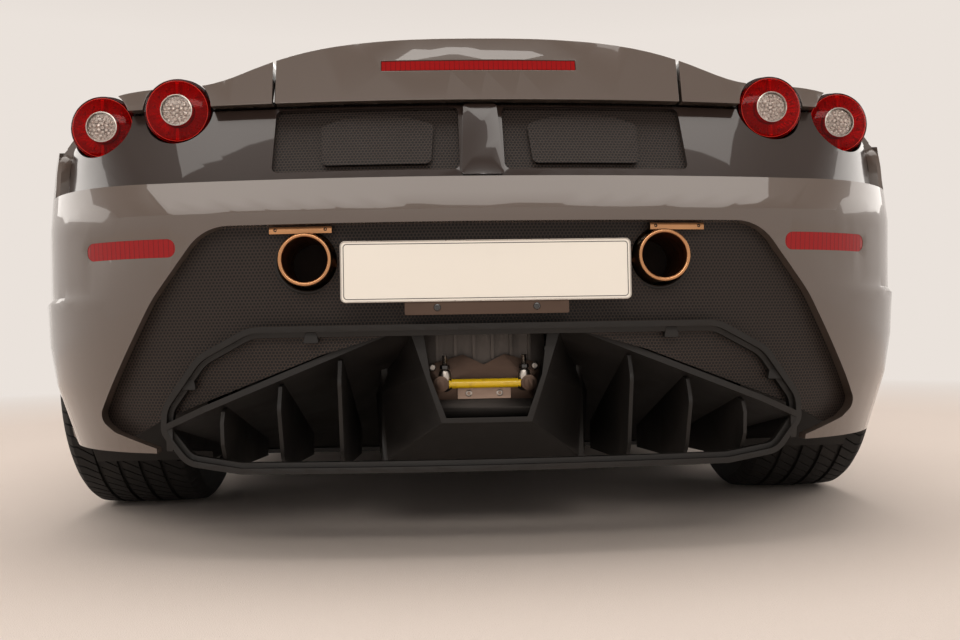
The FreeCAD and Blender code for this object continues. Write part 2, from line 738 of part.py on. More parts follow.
def ramp(side):
    """Sloping roof of one channel: from the flat floor up to a slanted rear edge."""
    (inner, high), (outer, low) = ROOF_END
    front_edge = ((CHANNEL_INSIDE, CHANNEL_BASE), (outer, CHANNEL_BASE))
    edges = []
    for place, ends in ((CHANNEL_REAR, ((inner, high), (outer, low))), (CHANNEL_FRONT, front_edge)):
        lower = [Vector(side * x, place, z) for x, z in ends]
        upper = [point + Vector(0, 0, float(S.diffuser_wall)) for point in reversed(lower)]
        edges.append(Part.makePolygon(lower + upper + lower[:1]))
    return Part.makeLoft(edges, True, True)


def bucket(front, rear):
    """Open-topped nozzle that narrows towards its rim."""
    solids = []
    for wall, reach in ((0, 0), (S.diffuser_wall, 5)):
        sections = []
        for place, half in ((front - reach, BUCKET_FRONT), (rear + reach, BUCKET_RIM)):
            top, waist, foot = half
            right = [(top[0] - wall, top[1] + 20 * reach), (waist[0] - wall, waist[1]),
                     (foot[0] - wall, foot[1] + wall)]
            points = right + [(-x, z) for x, z in reversed(right)]
            sections.append(Part.makePolygon([Vector(x, float(place), z) for x, z in points + points[:1]]))
        solids.append(Part.makeLoft(sections, True, True))
    outside, inside = solids
    return outside.cut(inside)


def diffuser():
    """Rim, two sloping channels with fins, and the bucket between them that shows the gearbox."""
    front, rear, base = CHANNEL_FRONT, CHANNEL_REAR, CHANNEL_BASE
    mouth = rear - S.bucket_length
    bead = S.diffuser_bead
    pieces = [rim_band(2, S.skin_wall, 0, bead), rim_band(14, S.skin_wall, bead - 1, 10),
              bucket(mouth, rear)]
    # Side wall: its place across the car, then its front end and its rear end with the foot there
    side_walls = ((CHANNEL_INSIDE, front + 40, mouth + 20, base + 6),
                  (ROOF_END[1][0] - 12, front + 60, rear - 20, 205))
    into_roof = S.diffuser_wall / 2
    for side in (-1, 1):
        pieces.append(ramp(side))
        for x, start, end, foot in side_walls:
            profile = [(start, base + 2), (end, foot), (end, roof_height(x + 6, end) + into_roof),
                       (start, roof_height(x + 6, start) + into_roof)]
            pieces.append(prism(profile, "x", side * x, side * (x + 12)))
        for x, top in FINS:
            start, end = front + 150, rear - 40
            fin = [(start, base), (start, roof_height(x, start) + into_roof),
                   (end, roof_height(x, end) + into_roof),
                   (rear - 8, top), (rear + 12, top - 40, 25), (rear - 30, base + 36, 60),
                   (rear - 80, base + 20)]
            pieces.append(prism(fin, "x", side * x - S.fin_wall / 2, side * x + S.fin_wall / 2))
    inside = CHANNEL_INSIDE + 6
    pieces.append(prism([(front, base), (front, base + S.diffuser_wall), (mouth + 4, 166),
                         (mouth + 4, 155)],
                        "x", -inside, inside))
    return joined(pieces).common(hull(2))


def tail_lamps():
    """Four round lamps with gently domed fronts."""
    lamps = []
    for x, z, ahead in LAMPS:
        reach = TAIL - ahead
        body = rod(S.lamp_radius, (x, reach - 90, z), (x, reach - 14, z))
        dome = Part.makeSphere(float(S.lamp_radius) * 2.4)
        dome.translate(Vector(x, reach - S.lamp_radius * 2.4, z))
        front = dome.common(rod(S.lamp_radius, (x, reach - 20, z), (x, reach + 10, z)))
        collar = rod(LAMP_HOLE - S.seam, (x, reach - 90, z), (x, reach - 34, z))
        lamps.append(joined([body, front, collar]))
    return Part.makeCompound(lamps)


def reflectors():
    return Part.makeCompound([hull(0.5).common(reflector_tool(side)).common(
        slab(REAR_BUMPER_FRONT, TAIL)) for side in (-1, 1)])


part("tail_panel", tail_panel())
part("rear_mesh", rear_mesh())
part("diffuser", diffuser())
part("tail_lamps", tail_lamps())
part("rear_reflectors", reflectors())
part("brake_strip", hull(1).cut(hull(7.5)).common(block(-189, 189, TAIL - 240, TAIL, 925, 944)))


# Structure

def ring(depth, wall, y0, y1, z0, z1):
    """A flange that follows the body's inside."""
    return shell(depth + S.seam, depth + wall).common(slab(y0, y1, z0, z1))


FLOOR_LEVEL = S.ride_height + 10 + S.seam
FLOOR_TOP = FLOOR_LEVEL + 35
FIREWALL = WING_REAR - 36
NOSE_FRAME = BUMPER_SEAM - 15
RAIL_X = 330


def tub():
    """Floor, sills, bulkheads and the rails that carry the running gear."""
    cabin = UNDER_SKIN.common(slab(FIREWALL, BULKHEAD + S.bulkhead_wall, FLOOR_LEVEL, FLOOR_TOP))
    pieces = [cabin]
    sill_top = S.door_bottom - S.shut_gap
    sills = UNDER_SKIN.common(slab(FIREWALL, BULKHEAD + S.bulkhead_wall, FLOOR_LEVEL, sill_top))
    pieces.append(sills.cut(block(-640, 640, NOSE, TAIL, 0, BEYOND)))
    pieces.append(UNDER_SKIN.common(slab(FIREWALL, WING_REAR, FLOOR_LEVEL, S.belt_height - 60)))
    bulkhead = UNDER_SKIN.common(slab(BULKHEAD, BULKHEAD + S.bulkhead_wall, FLOOR_LEVEL, BEYOND))
    window = prism([(-380, 860), (380, 860), (330, 1090), (-330, 1090)], "y", BULKHEAD - 10, BULKHEAD + 60,
                   40)
    pieces.append(bulkhead.cut(window))
    pieces.append(ring(S.door_wall, 26, WING_REAR - 2, DOOR_FRONT + 20, FLOOR_LEVEL, S.belt_height - 60))
    pieces.append(ring(S.door_wall, 26, DOOR_REAR - 34, BULKHEAD + 2, FLOOR_LEVEL, S.belt_height - 10))
    tunnel = prism([(-110, FLOOR_TOP - 2), (110, FLOOR_TOP - 2), (90, 330, 40), (-90, 330, 40)],
                   "y", FIREWALL + 2, BULKHEAD + 2)
    pieces.append(tunnel)
    for side in (-1, 1):
        rail = sorted((side * (RAIL_X - 30), side * (RAIL_X + 30)))
        pieces.append(block(*rail, NOSE_FRAME - 4, FIREWALL + 4, 190, 270))
        pieces.append(block(*rail, BULKHEAD + 2, REAR_AXLE + 90, 190, 270))
        pieces.append(block(*rail, REAR_AXLE - 90, TAIL_FRAME + 4, 410, 470))
        pieces.append(block(*rail, FRONT_AXLE - 60, FRONT_AXLE + 60, 268, 470))
        pieces.append(block(*rail, REAR_AXLE - 90, REAR_AXLE + 90, 268, 470).cut(
            rod(60, (-BEYOND, REAR_AXLE, S.rear_tyre_radius), (BEYOND, REAR_AXLE, S.rear_tyre_radius))))
    nose_frame = UNDER_SKIN.common(slab(NOSE_FRAME - 24, NOSE_FRAME, 180, 1000))
    pieces.append(nose_frame.cut(block(-S.lid_front_half + 20, S.lid_front_half - 20, NOSE, NOSE_FRAME + 1,
                                       285, 1000)))
    frame = UNDER_SKIN.common(slab(TAIL_FRAME, TAIL_FRAME + 22, 300, 1000))
    opening = [(-280, 200), (280, 200), (280, 520), (430, 560), (360, 880), (-360, 880), (-430, 560),
               (-280, 520)]
    pieces.append(frame.cut(prism(opening, "y", TAIL_FRAME - 5, TAIL_FRAME + 30, 30)))
    return joined(pieces)


def front_boot():
    """Luggage well under the front lid. Its rim is what the lid rests on."""
    half, low_half = S.lid_front_half - 22, RAIL_X - 34
    front, rear = NOSE_FRAME + 1, LID_REAR - 60
    wall, shelf, base = 12, 480, 290
    outlines = []
    for by in (0, wall):
        wide, narrow = half - by, low_half - by
        right = [(narrow, base + by), (narrow, shelf + by), (wide, shelf + by), (wide, 1000)]
        outlines.append([(-x, z) for x, z in reversed(right)] + right)
    outer, inner = outlines
    well = UNDER_SKIN.common(prism(outer, "y", front, rear))
    return well.cut(prism(inner, "y", front + wall, rear - wall))


def undertray():
    tray = hull(WALL_SEAT, S.ride_height).common(slab(NOSE, TAIL - S.diffuser_length - 1, 0,
                                                      S.ride_height + 10))
    wells = [block(*sorted((side * inner, side * BEYOND)), axle - 395, axle + 395, 0, 300)
             for axle, inner in ((FRONT_AXLE, 528), (REAR_AXLE, 594)) for side in (-1, 1)]
    return tray.cut(wells)


def arch_liners():
    """Wheel houses: a curved shell over each wheel and a wall inside it, open where the arms pass."""
    liners = []
    for axle, radius, tyre, inner in ((FRONT_AXLE, 385, S.front_tyre_radius, 534),
                                      (REAR_AXLE, 388, S.rear_tyre_radius, 600)):
        drum = rod(radius, (inner, axle, tyre), (BEYOND, axle, tyre))
        hollow = rod(radius - 4, (inner + 4, axle, tyre), (BEYOND, axle, tyre))
        arms = block(inner - 5, inner + 10, axle - 175, axle + 175, 0, tyre + 145)
        liner = drum.cut(hollow).common(slab(NOSE, TAIL, FLOOR_LEVEL, BEYOND)).common(UNDER_SKIN)
        liners.append(liner.cut(arms))
    return Part.makeCompound([piece for liner in liners for piece in (liner, mirrored(liner))])


def intake_grilles():
    """Mesh panels behind the two front intakes and the two behind the doors."""
    band = shell(WALL_SEAT, WALL_SEAT + S.mesh_wall)
    wide = [(170, 175), (665, 175), (725, 262), (575, 418), (235, 418)]
    front = band.common(prism(wide, "y", NOSE, NOSE + 420, 30))
    side = band.common(side_intake_tool(14)).common(slab(BULKHEAD + S.bulkhead_wall + S.seam, REAR_AXLE))
    return Part.makeCompound([shape for half in (front, side) for shape in (half, mirrored(half))])


part("tub", tub())
part("front_boot", front_boot())
part("undertray", undertray())
part("arch_liners", arch_liners())
part("intake_grilles", intake_grilles())


# Helpers for sketched pieces

def body(name):
    return doc.addObject("PartDesign::Body", name)


def origin_feature(owner, role):
    return next(f for f in owner.Origin.OriginFeatures if f.Role == role)


def sketch_on(owner, name, role, offset=None):
    sketch = owner.newObject("Sketcher::SketchObject", name)
    sketch.AttachmentSupport = [(origin_feature(owner, role), "")]
    sketch.MapMode = "FlatFace"
    if offset is not None:
        sketch.AttachmentOffset = Placement(Vector(0, 0, float(offset)), Rotation())
        if isinstance(offset, Size) and "Sizes." in offset.formula:
            sketch.setExpression("AttachmentOffset.Base.z", offset.formula)
    return sketch


def hold(sketch, kind, geometry, end, size):
    """Fix one coordinate of a point, by formula where it has one."""
    if abs(float(size)) < 1e-9:
        axis = -2 if kind == "DistanceX" else -1
        sketch.addConstraint(Sketcher.Constraint("PointOnObject", geometry, end, axis))
        return
    index = sketch.addConstraint(Sketcher.Constraint(kind, -1, 1, geometry, end, float(size)))
    if isinstance(size, Size) and "Sizes." in size.formula:
        sketch.setExpression(f"Constraints[{index}]", size.formula)


def polygon(sketch, points):
    first = len(sketch.Geometry)
    count = len(points)
    flat = [Vector(float(x), float(y), 0) for x, y in points]
    for i in range(count):
        sketch.addGeometry(Part.LineSegment(flat[i], flat[(i + 1) % count]))
    for i in range(count):
        sketch.addConstraint(Sketcher.Constraint("Coincident", first + i, 2, first + (i + 1) % count, 1))
    for i, (x, y) in enumerate(points):
        hold(sketch, "DistanceX", first + i, 1, x)
        hold(sketch, "DistanceY", first + i, 1, y)


def circle(sketch, x, y, radius):
    index = sketch.addGeometry(Part.Circle(Vector(float(x), float(y), 0), UP, float(radius)))
    hold(sketch, "DistanceX", index, 3, x)
    hold(sketch, "DistanceY", index, 3, y)
    size = sketch.addConstraint(Sketcher.Constraint("Radius", index, float(radius)))
    if isinstance(radius, Size) and "Sizes." in radius.formula:
        sketch.setExpression(f"Constraints[{size}]", radius.formula)


def pad(owner, name, sketch, length, both_ways=False):
    feature = owner.newObject("PartDesign::Pad", name)
    feature.Profile = sketch
    feature.Midplane = both_ways
    bind(feature, "Length", length)
    return feature


def pocket(owner, name, sketch, both_ways=True):
    feature = owner.newObject("PartDesign::Pocket", name)
    feature.Profile = sketch
    feature.Type = "ThroughAll"
    feature.Midplane = both_ways
    return feature


def revolve(owner, name, sketch, axis="H_Axis"):
    feature = owner.newObject("PartDesign::Revolution", name)
    feature.Profile = sketch
    feature.ReferenceAxis = (sketch, [axis])
    feature.Angle = 360
    return feature


def repeat_round(owner, name, feature, role, count):
    pattern = owner.newObject("PartDesign::PolarPattern", name)
    pattern.Originals = [feature]
    pattern.Axis = (origin_feature(owner, role), [""])
    pattern.Angle = 360
    bind(pattern, "Occurrences", count)
    owner.Tip = pattern
    return pattern


def move_to(obj, x, y, z, turn=0):
    """Place a piece, turned about the vertical by whole degrees."""
    obj.Placement = Placement(Vector(float(x), float(y), float(z)), Rotation(UP, turn))
    for axis, size in (("x", x), ("y", y), ("z", z)):
        if isinstance(size, Size) and "Sizes." in size.formula:
            obj.setExpression(f"Placement.Base.{axis}", size.formula)


# Wheels: each in its own frame, with X along the axle and pointing outwards

RIM_EDGE = 8
RIM_LIP_WALL = 7
BEAD_INSET = 7


def tyre(name, radius, width):
    """Straight-sided section, which leans out from the bead over the rim's lip."""
    owner = body(name)
    half = width / 2
    seat = S.rim_radius + S.seam
    section = sketch_on(owner, name + "_section", "XZ_Plane")
    bead = half - RIM_EDGE - RIM_LIP_WALL - BEAD_INSET
    widest = (radius + S.rim_radius) / 2 + 4
    right = [(bead, seat), (half, widest), (half - 5, radius - 17), (half - 30, radius)]
    polygon(section, right + [(-x, z) for x, z in reversed(right)])
    revolve(owner, name + "_turned", section)
    return owner


def rim(name, width):
    """Barrel with lips, and a dished face cut into double spokes."""
    owner = body(name)
    half = width / 2 - RIM_EDGE
    inner = S.rim_radius - S.rim_wall
    section = sketch_on(owner, name + "_section", "XZ_Plane")
    edge = half - RIM_LIP_WALL
    polygon(section, [(-half, inner), (-half, S.rim_radius + S.rim_lip), (-edge, S.rim_radius + S.rim_lip),
                      (-edge, S.rim_radius), (edge, S.rim_radius), (edge, S.rim_radius + S.rim_lip),
                      (half, S.rim_radius + S.rim_lip), (half, inner), (half - 18, inner - 4),
                      (half - 34, S.hub_radius + 26), (half - 40, S.hub_radius),
                      (half - 46, S.hub_radius - 20),
                      (half - 46, 0), (HUB_FACE + S.seam, 0), (HUB_FACE + S.seam, S.hub_radius),
                      (half - 52 - S.spoke_depth / 2, S.hub_radius + 26),
                      (half - 20 - S.spoke_depth, inner - 4),
                      (half - 30 - S.spoke_depth, inner)])
    revolve(owner, name + "_turned", section)
    step = 180 / S.spoke_pairs
    doc.recompute()
    for label, spread_in, spread_out, low, turn in (("wide", 17, 15.5, S.hub_radius + 22, 0),
                                                    ("narrow", 3.5, 6, S.hub_radius + 44, 1)):
        window = sketch_on(owner, f"{name}_{label}_window", "YZ_Plane")
        points = []
        for reach, spread in ((low, -spread_in), (inner - 7, -spread_out), (inner - 1, 0),
                              (inner - 7, spread_out), (low, spread_in)):
            angle = math.radians(90 + turn * float(step) + spread)
            points.append((reach * math.cos(angle), reach * math.sin(angle)))
        polygon(window, points)
        cut = pocket(owner, f"{name}_{label}_gap", window)
        repeat_round(owner, f"{name}_{label}_gaps", cut, "X_Axis", S.spoke_pairs)
        doc.recompute()
    return owner


HUB_FACE = Size(16)


def hub(name, disc_radius, disc_x, shaft=0):
    """Hub, brake disc and stub, turned as one, and at the rear the drive shaft."""
    owner = body(name)
    section = sketch_on(owner, name + "_section", "XZ_Plane")
    end = -92 if not shaft else shaft
    points = [(HUB_FACE, 0), (HUB_FACE, 68), (HUB_FACE - 12, 68), (HUB_FACE - 12, 88),
              (disc_x + S.disc_wall, 96),
              (disc_x + S.disc_wall, disc_radius), (disc_x, disc_radius), (disc_x, 82), (disc_x - 2, 60),
              (-40, 60), (-40, S.stub_radius), (-92, S.stub_radius)]
    if shaft:
        points += [(-110, S.stub_radius), (-110, 46), (-150, 42), (-168, S.shaft_radius),
                   (end + 60, S.shaft_radius),
                   (end + 44, 40), (end, 44), (end, 0)]
    else:
        points += [(-92, 0)]
    polygon(section, points)
    revolve(owner, name + "_turned", section)
    return owner


AXLES = (
    ("front", FRONT_AXLE, S.front_track / 2, S.front_tyre_radius, S.front_tyre_width, S.front_disc_radius),
    ("rear", REAR_AXLE, S.rear_track / 2, S.rear_tyre_radius, S.rear_tyre_width, S.rear_disc_radius),
)
GEARBOX_FLANGE = 170
DISC_X = Size(-34)
for end, axle, half_track, radius, width, disc_radius in AXLES:
    shaft = 0 if end == "front" else -(half_track - GEARBOX_FLANGE - S.seam)
    for side, hand, turn in ((1, "left", 0), (-1, "right", 180)):
        name = f"{end}_{hand}"
        for piece in (tyre(f"tyre_{name}", radius, width), rim(f"rim_{name}", width),
                      hub(f"hub_{name}", disc_radius, DISC_X, shaft)):
            move_to(piece, side * half_track, axle, radius, turn)
            named(piece, piece.Name)


# Running gear

KINGPIN = S.front_track / 2 - 89
ARM_LOW = S.front_tyre_radius - 120
ARM_HIGH = S.front_tyre_radius + 108
ARM_SPREAD = 44
LOW_ARM_WALL = 22
REAR_ARM_LOW = S.rear_tyre_radius - 130
REAR_ARM_HIGH = S.rear_tyre_radius + 104


def wishbone(axle, outer, inner, spread, low, wall, boss=26):
    """A-shaped arm: two legs from the rail to a round boss at the wheel."""
    shape = prism([(inner, axle - spread - 16), (inner + 46, axle - spread - 16), (outer + 4, axle - 18),
                   (outer + 4, axle + 18), (inner + 46, axle + spread + 16), (inner, axle + spread + 16)],
                  "z", low, low + wall)
    gap = prism([(inner - 10, axle - spread + 14), (inner + 36, axle - spread + 14),
                 (outer - 70, axle - 10),
                 (outer - 70, axle + 10), (inner + 36, axle + spread - 14),
                 (inner - 10, axle + spread - 14)],
                "z", low - 1, low + wall + 1, 8)
    return shape.cut(gap).fuse(rod(boss, (outer, axle, low), (outer, axle, low + wall))).removeSplitter()


def upright(outer_x, axle, level, low, high, bore, disc_radius, disc_x):
    """Wheel carrier with its bearing and the brake caliper, in one piece."""
    post = block(outer_x - 22, outer_x + 22, axle - 30, axle + 30, low, high)
    bearing = rod(64, (outer_x - 22, axle, level), (outer_x + 24, axle, level))
    reach = disc_radius + 10
    ear = block(outer_x + 2, outer_x + 22, axle, axle + reach - 20, level - 44, level + 44)
    caliper = rod(reach, (outer_x + 2, axle, level), (disc_x + S.disc_wall + 16, axle, level))
    caliper = caliper.cut(rod(disc_radius - 62, (outer_x, axle, level), (disc_x + 200, axle, level)))
    caliper = caliper.cut(rod(disc_radius + 3, (disc_x - 3, axle, level),
                              (disc_x + S.disc_wall + 3, axle, level)))
    wedge = prism([(axle, level), (axle + 400, level - 150), (axle + 400, level + 150)], "x", outer_x - 50,
                  outer_x + 300)
    shape = joined([post, bearing, ear.cut(rod(60, (0, axle, level), (BEYOND, axle, level))),
                    caliper.common(wedge)])
    return shape.cut(rod(bore, (outer_x - 100, axle, level), (outer_x + 60, axle, level)))


def suspension_arms():
    arms = []
    inner = RAIL_X + 30 + S.seam
    rear_outer = S.rear_track / 2 - 100
    for axle, outer, low, high in ((FRONT_AXLE, KINGPIN, ARM_LOW, ARM_HIGH),
                                   (REAR_AXLE, rear_outer, REAR_ARM_LOW, REAR_ARM_HIGH)):
        arms.append(wishbone(axle, outer, inner, ARM_SPREAD, low, LOW_ARM_WALL))
        arms.append(wishbone(axle, outer, inner, ARM_SPREAD, high, 18))
    return Part.makeCompound([shape for arm in arms for shape in (arm, mirrored(arm))])


def knuckle():
    wheel_x = S.front_track / 2
    return upright(KINGPIN, FRONT_AXLE, S.front_tyre_radius, ARM_LOW + LOW_ARM_WALL + S.seam,
                   ARM_HIGH - S.seam,
                   S.stub_radius + S.running_gap, S.front_disc_radius, wheel_x + DISC_X)


def rear_uprights():
    wheel_x = S.rear_track / 2
    carrier = upright(wheel_x - 82, REAR_AXLE, S.rear_tyre_radius, REAR_ARM_LOW + LOW_ARM_WALL + S.seam,
                      REAR_ARM_HIGH - S.seam, S.stub_radius + S.running_gap, S.rear_disc_radius,
                      wheel_x + DISC_X)
    return both(carrier)


part("suspension_arms", suspension_arms())
left_knuckle = knuckle()
part("knuckle_left", left_knuckle)
part("knuckle_right", mirrored(left_knuckle))
part("rear_uprights", rear_uprights())


def engine():
    """Plain block under the window, with two ribbed intake chests on top."""
    front, rear = BULKHEAD + S.bulkhead_wall + 60, REAR_AXLE - 330
    crankcase = prism([(-150, 175), (150, 175), (270, 420), (290, 640), (120, 700), (-120, 700),
                       (-290, 640),
                       (-270, 420)], "y", front, rear, 20)
    chests = []
    for side in (-1, 1):
        chest = rod(92, (side * 125, front + 60, 745), (side * 125, rear - 40, 745))
        chests.append(chest)
        for step in range(5):
            place = front + 110 + step * 80
            chests.append(rod(97, (side * 125, place, 745), (side * 125, place + 14, 745)))
    return joined([crankcase] + chests)


GEARBOX_REAR = TAIL - 190
# The sloping top of the gearbox, which the silencer's saddles stand on: place, then height.
GEARBOX_TOP = ((REAR_AXLE + 150, 540), (GEARBOX_REAR - 60, 500))


def gearbox_top(place):
    (front, high), (rear, low) = GEARBOX_TOP
    return high + (low - high) * (place - front) / (rear - front)


def gearbox():
    """Gearbox behind the engine, with its ribbed end cover."""
    front, rear = REAR_AXLE - 330 + S.seam, GEARBOX_REAR
    case = prism([(front, 190), (REAR_AXLE + 200, 190), (rear - 60, 235), (rear, 250), (rear, 470),
                  GEARBOX_TOP[1], GEARBOX_TOP[0], (front, 600)],
                 "x", -GEARBOX_FLANGE, GEARBOX_FLANGE, 25)
    taper = both(prism([(250, REAR_AXLE - 600), (300, REAR_AXLE - 600), (300, rear + 50), (120, rear + 50),
                        (120, rear - 60), (GEARBOX_FLANGE, REAR_AXLE + 180), (250, REAR_AXLE + 180)],
                       "z", 0, BEYOND))
    case = case.cut(taper)
    ribs = [block(x - 3, x + 3, rear - 30, rear + 8, 330, 480) for x in (-90, -54, -18, 18, 54, 90)]
    return joined([case] + ribs)


TIE_HALF = 84
TIE_HEIGHT = 317


def tie_bracket():
    """Plate on the gearbox end, with a joint socket at each end."""
    rear = GEARBOX_REAR + 8 + S.seam
    plate = prism([(-95, 285), (95, 285), (112, 352), (40, 372), (0, 352), (-40, 372), (-112, 352)],
                  "y", rear, rear + 6, 5)
    studs = [rod(radius, (side * TIE_HALF, rear + low, TIE_HEIGHT),
                 (side * TIE_HALF, rear + high, TIE_HEIGHT))
             for side in (-1, 1) for radius, low, high in ((8, 3, 30), (15, 22, 46), (10, 40, 50))]
    return joined([plate] + studs)


def tie_bar():
    place = GEARBOX_REAR + 8 + S.seam + 34
    reach = TIE_HALF - 15 - S.seam
    return rod(9, (-reach, place, TIE_HEIGHT), (reach, place, TIE_HEIGHT))


def exhaust():
    """Silencer across the tail, with a tip each side and two saddles on the gearbox."""
    rear = TAIL - 24
    saddle = [TAIL_FRAME + 60, TAIL_FRAME + 110]
    foot = [(place, gearbox_top(place) + S.seam) for place in saddle]
    feet = both(prism([(saddle[0], 560)] + foot + [(saddle[1], 560)], "x", 40, 80))
    box = prism([(TAIL_FRAME + 40, 525), (TAIL_FRAME + 220, 525), (TAIL_FRAME + 250, 610),
                 (TAIL_FRAME + 210, 684),
                 (TAIL_FRAME + 40, 684)], "x", -470, 470, 35)
    pieces = [box] + feet.Solids
    bores = []
    for side in (-1, 1):
        start, end = (side * S.pipe_x, TAIL_FRAME + 150, S.pipe_height), (side * S.pipe_x, rear,
                                                                          S.pipe_height)
        pieces.append(rod(S.pipe_radius, start, end))
        bores.append(rod(S.pipe_radius - S.pipe_wall, (start[0], TAIL_FRAME + 240, start[2]),
                         (end[0], end[1] + 1, end[2])))
    return joined(pieces).cut(bores)


part("engine", engine())
part("gearbox", gearbox())
part("tie_bracket", tie_bracket())
part("tie_bar", tie_bar())
part("exhaust", exhaust())


def number_plate():
    """Blank plate with its holder."""
    half, low = S.plate_width / 2, S.plate_centre - S.plate_height / 2
    rear = TAIL - 18
    plate = prism([(-half, low), (half, low), (half, low + S.plate_height), (-half, low + S.plate_height)],
                  "y", rear, rear + 3, 8)
    bracket = prism([(-150, 448), (150, 448), (150, 572), (-150, 572)], "y", rear - 12, rear + 0.5, 6)
    arms = both(block(110, 140, TAIL - 80, rear - 10, 480, 560)).cut(hull(S.skin_wall))
    return joined([plate, bracket] + arms.Solids)


part("number_plate", number_plate())


# Cabin

def dashboard():
    """Dashboard across the cabin with the instrument hood and the steering column."""
    front = WING_REAR + S.seam
    profile = [(front, 560), (front + 300, 520, 40), (front + 330, 640, 60), (front + 250, 760, 60),
               (front, 745)]
    board = prism(profile, "x", -BEYOND, BEYOND).common(hull(S.door_wall + 30))
    hood = prism([(front + 120, 740), (front + 300, 700), (front + 310, 800, 20), (front + 180, 815, 30)],
                 "x",
                 S.steering_wheel_x - 150, S.steering_wheel_x + 150)
    rake = math.radians(S.column_rake)
    centre = steering_centre()
    run = Vector(0, -math.cos(rake), -math.sin(rake))
    column = rod(28, centre + run * COLUMN_GAP, centre + run * 260)
    return joined([board, hood, column])


COLUMN_GAP = 24.5


def steering_centre():
    return Vector(float(S.steering_wheel_x), float(WING_REAR) + 520, 760)


def steering_wheel():
    """Rim, three spokes and boss, made flat and then raked to face the driver."""
    owner = body("steering_wheel")
    ring_section = sketch_on(owner, "grip_section", "XZ_Plane")
    circle(ring_section, S.steering_wheel_radius, 0, S.steering_wheel_grip)
    revolve(owner, "grip", ring_section, "V_Axis")
    boss = sketch_on(owner, "boss_outline", "XY_Plane", Size(-24))
    circle(boss, 0, 0, 62)
    pad(owner, "boss", boss, Size(40))
    spokes = sketch_on(owner, "spoke_outline", "XY_Plane", Size(-8))
    reach = S.steering_wheel_radius - 2
    polygon(spokes, [(-reach, -14), (reach, -14), (reach, 14), (-reach, 14)])
    pad(owner, "cross_spokes", spokes, Size(12))
    lower = sketch_on(owner, "lower_spoke_outline", "XY_Plane", Size(-8))
    polygon(lower, [(-24, 20), (24, 20), (16, reach), (-16, reach)])
    pad(owner, "lower_spoke", lower, Size(12))
    doc.recompute()
    turn = Rotation(ACROSS, float(S.column_rake) - 90)
    owner.Placement = Placement(steering_centre(), turn)
    return owner


def seat(side):
    """Bucket seat: cushion, backrest and head restraint between raised bolsters."""
    x = side * S.steering_wheel_x
    base = DOOR_REAR - 560
    low = FLOOR_TOP + S.seam
    profile = [(base - 120, low), (base + 330, low), (base + 500, 560, 150), (base + 545, 890, 60),
               (base + 480, 900, 50), (base + 330, 430, 90), (base - 60, 330, 60), (base - 170, 350, 50)]
    bolster = [(base - 60, low), (base + 340, low), (base + 512, 560, 150), (base + 530, 760, 50),
               (base + 430, 740, 50), (base + 250, 470, 90), (base - 40, 395, 60), (base - 130, 360, 40)]
    half = S.seat_width / 2
    middle = prism(profile, "x", x - half + 60, x + half - 60)
    sides = [prism(bolster, "x", x + at, x + at + 90) for at in (-half, half - 90)]
    return joined([middle] + sides)


part("dashboard", dashboard())
named(steering_wheel(), "steering_wheel")
part("seats", Part.makeCompound([seat(side) for side in (-1, 1)]))


def mirror_housing(side):
    """Door mirror: a tapered pod on a short flat stalk."""
    place = DOOR_FRONT + 175
    level = 880
    sections = []
    for x, wide, tall in ((880, 66, 60), (915, 96, 100), (1010, 104, 98), (1032, 84, 70)):
        points = [(place - wide * 0.62, level - tall * 0.42, 14), (place + wide / 2, level - tall / 2, 10),
                  (place + wide / 2, level + tall / 2, 12), (place - wide * 0.5, level + tall * 0.4, 26)]
        sections.append(outline(points, 0, "x", x))
    pod = Part.makeLoft(sections, True, True)
    stalk = prism([(846, 770), (890, 770), (935, 850), (880, 862)], "y", place - 26, place + 12)
    shape = joined([pod, stalk.cut(hull(-S.seam))])
    return shape if side > 0 else mirrored(shape)


for side, name in ((1, "left"), (-1, "right")):
    part(f"mirror_{name}", mirror_housing(side))


doc.recompute()
bad = [obj.Label for obj in parts if "Invalid" in obj.State or "Error" in obj.State
       or obj.Shape.isNull() or not obj.Shape.isValid()]
if bad:
    raise RuntimeError(f"these pieces failed: {bad}")
os.makedirs("parts", exist_ok=True)
for obj in parts:
    obj.Shape.exportStep(f"parts/{obj.Label}.step")
    print(obj.Label, len(obj.Shape.Solids), round(obj.Shape.Volume / 1e6, 2))
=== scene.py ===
"""Looks for the supercar: materials, fine pieces, camera and light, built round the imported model.

Metres. +Z is up, the nose points to -Y, the tail to +Y and the car's left side to +X.
"""
import json
import math

import bmesh
import bpy
from mathutils import Matrix, Vector
from mathutils.bvhtree import BVHTree

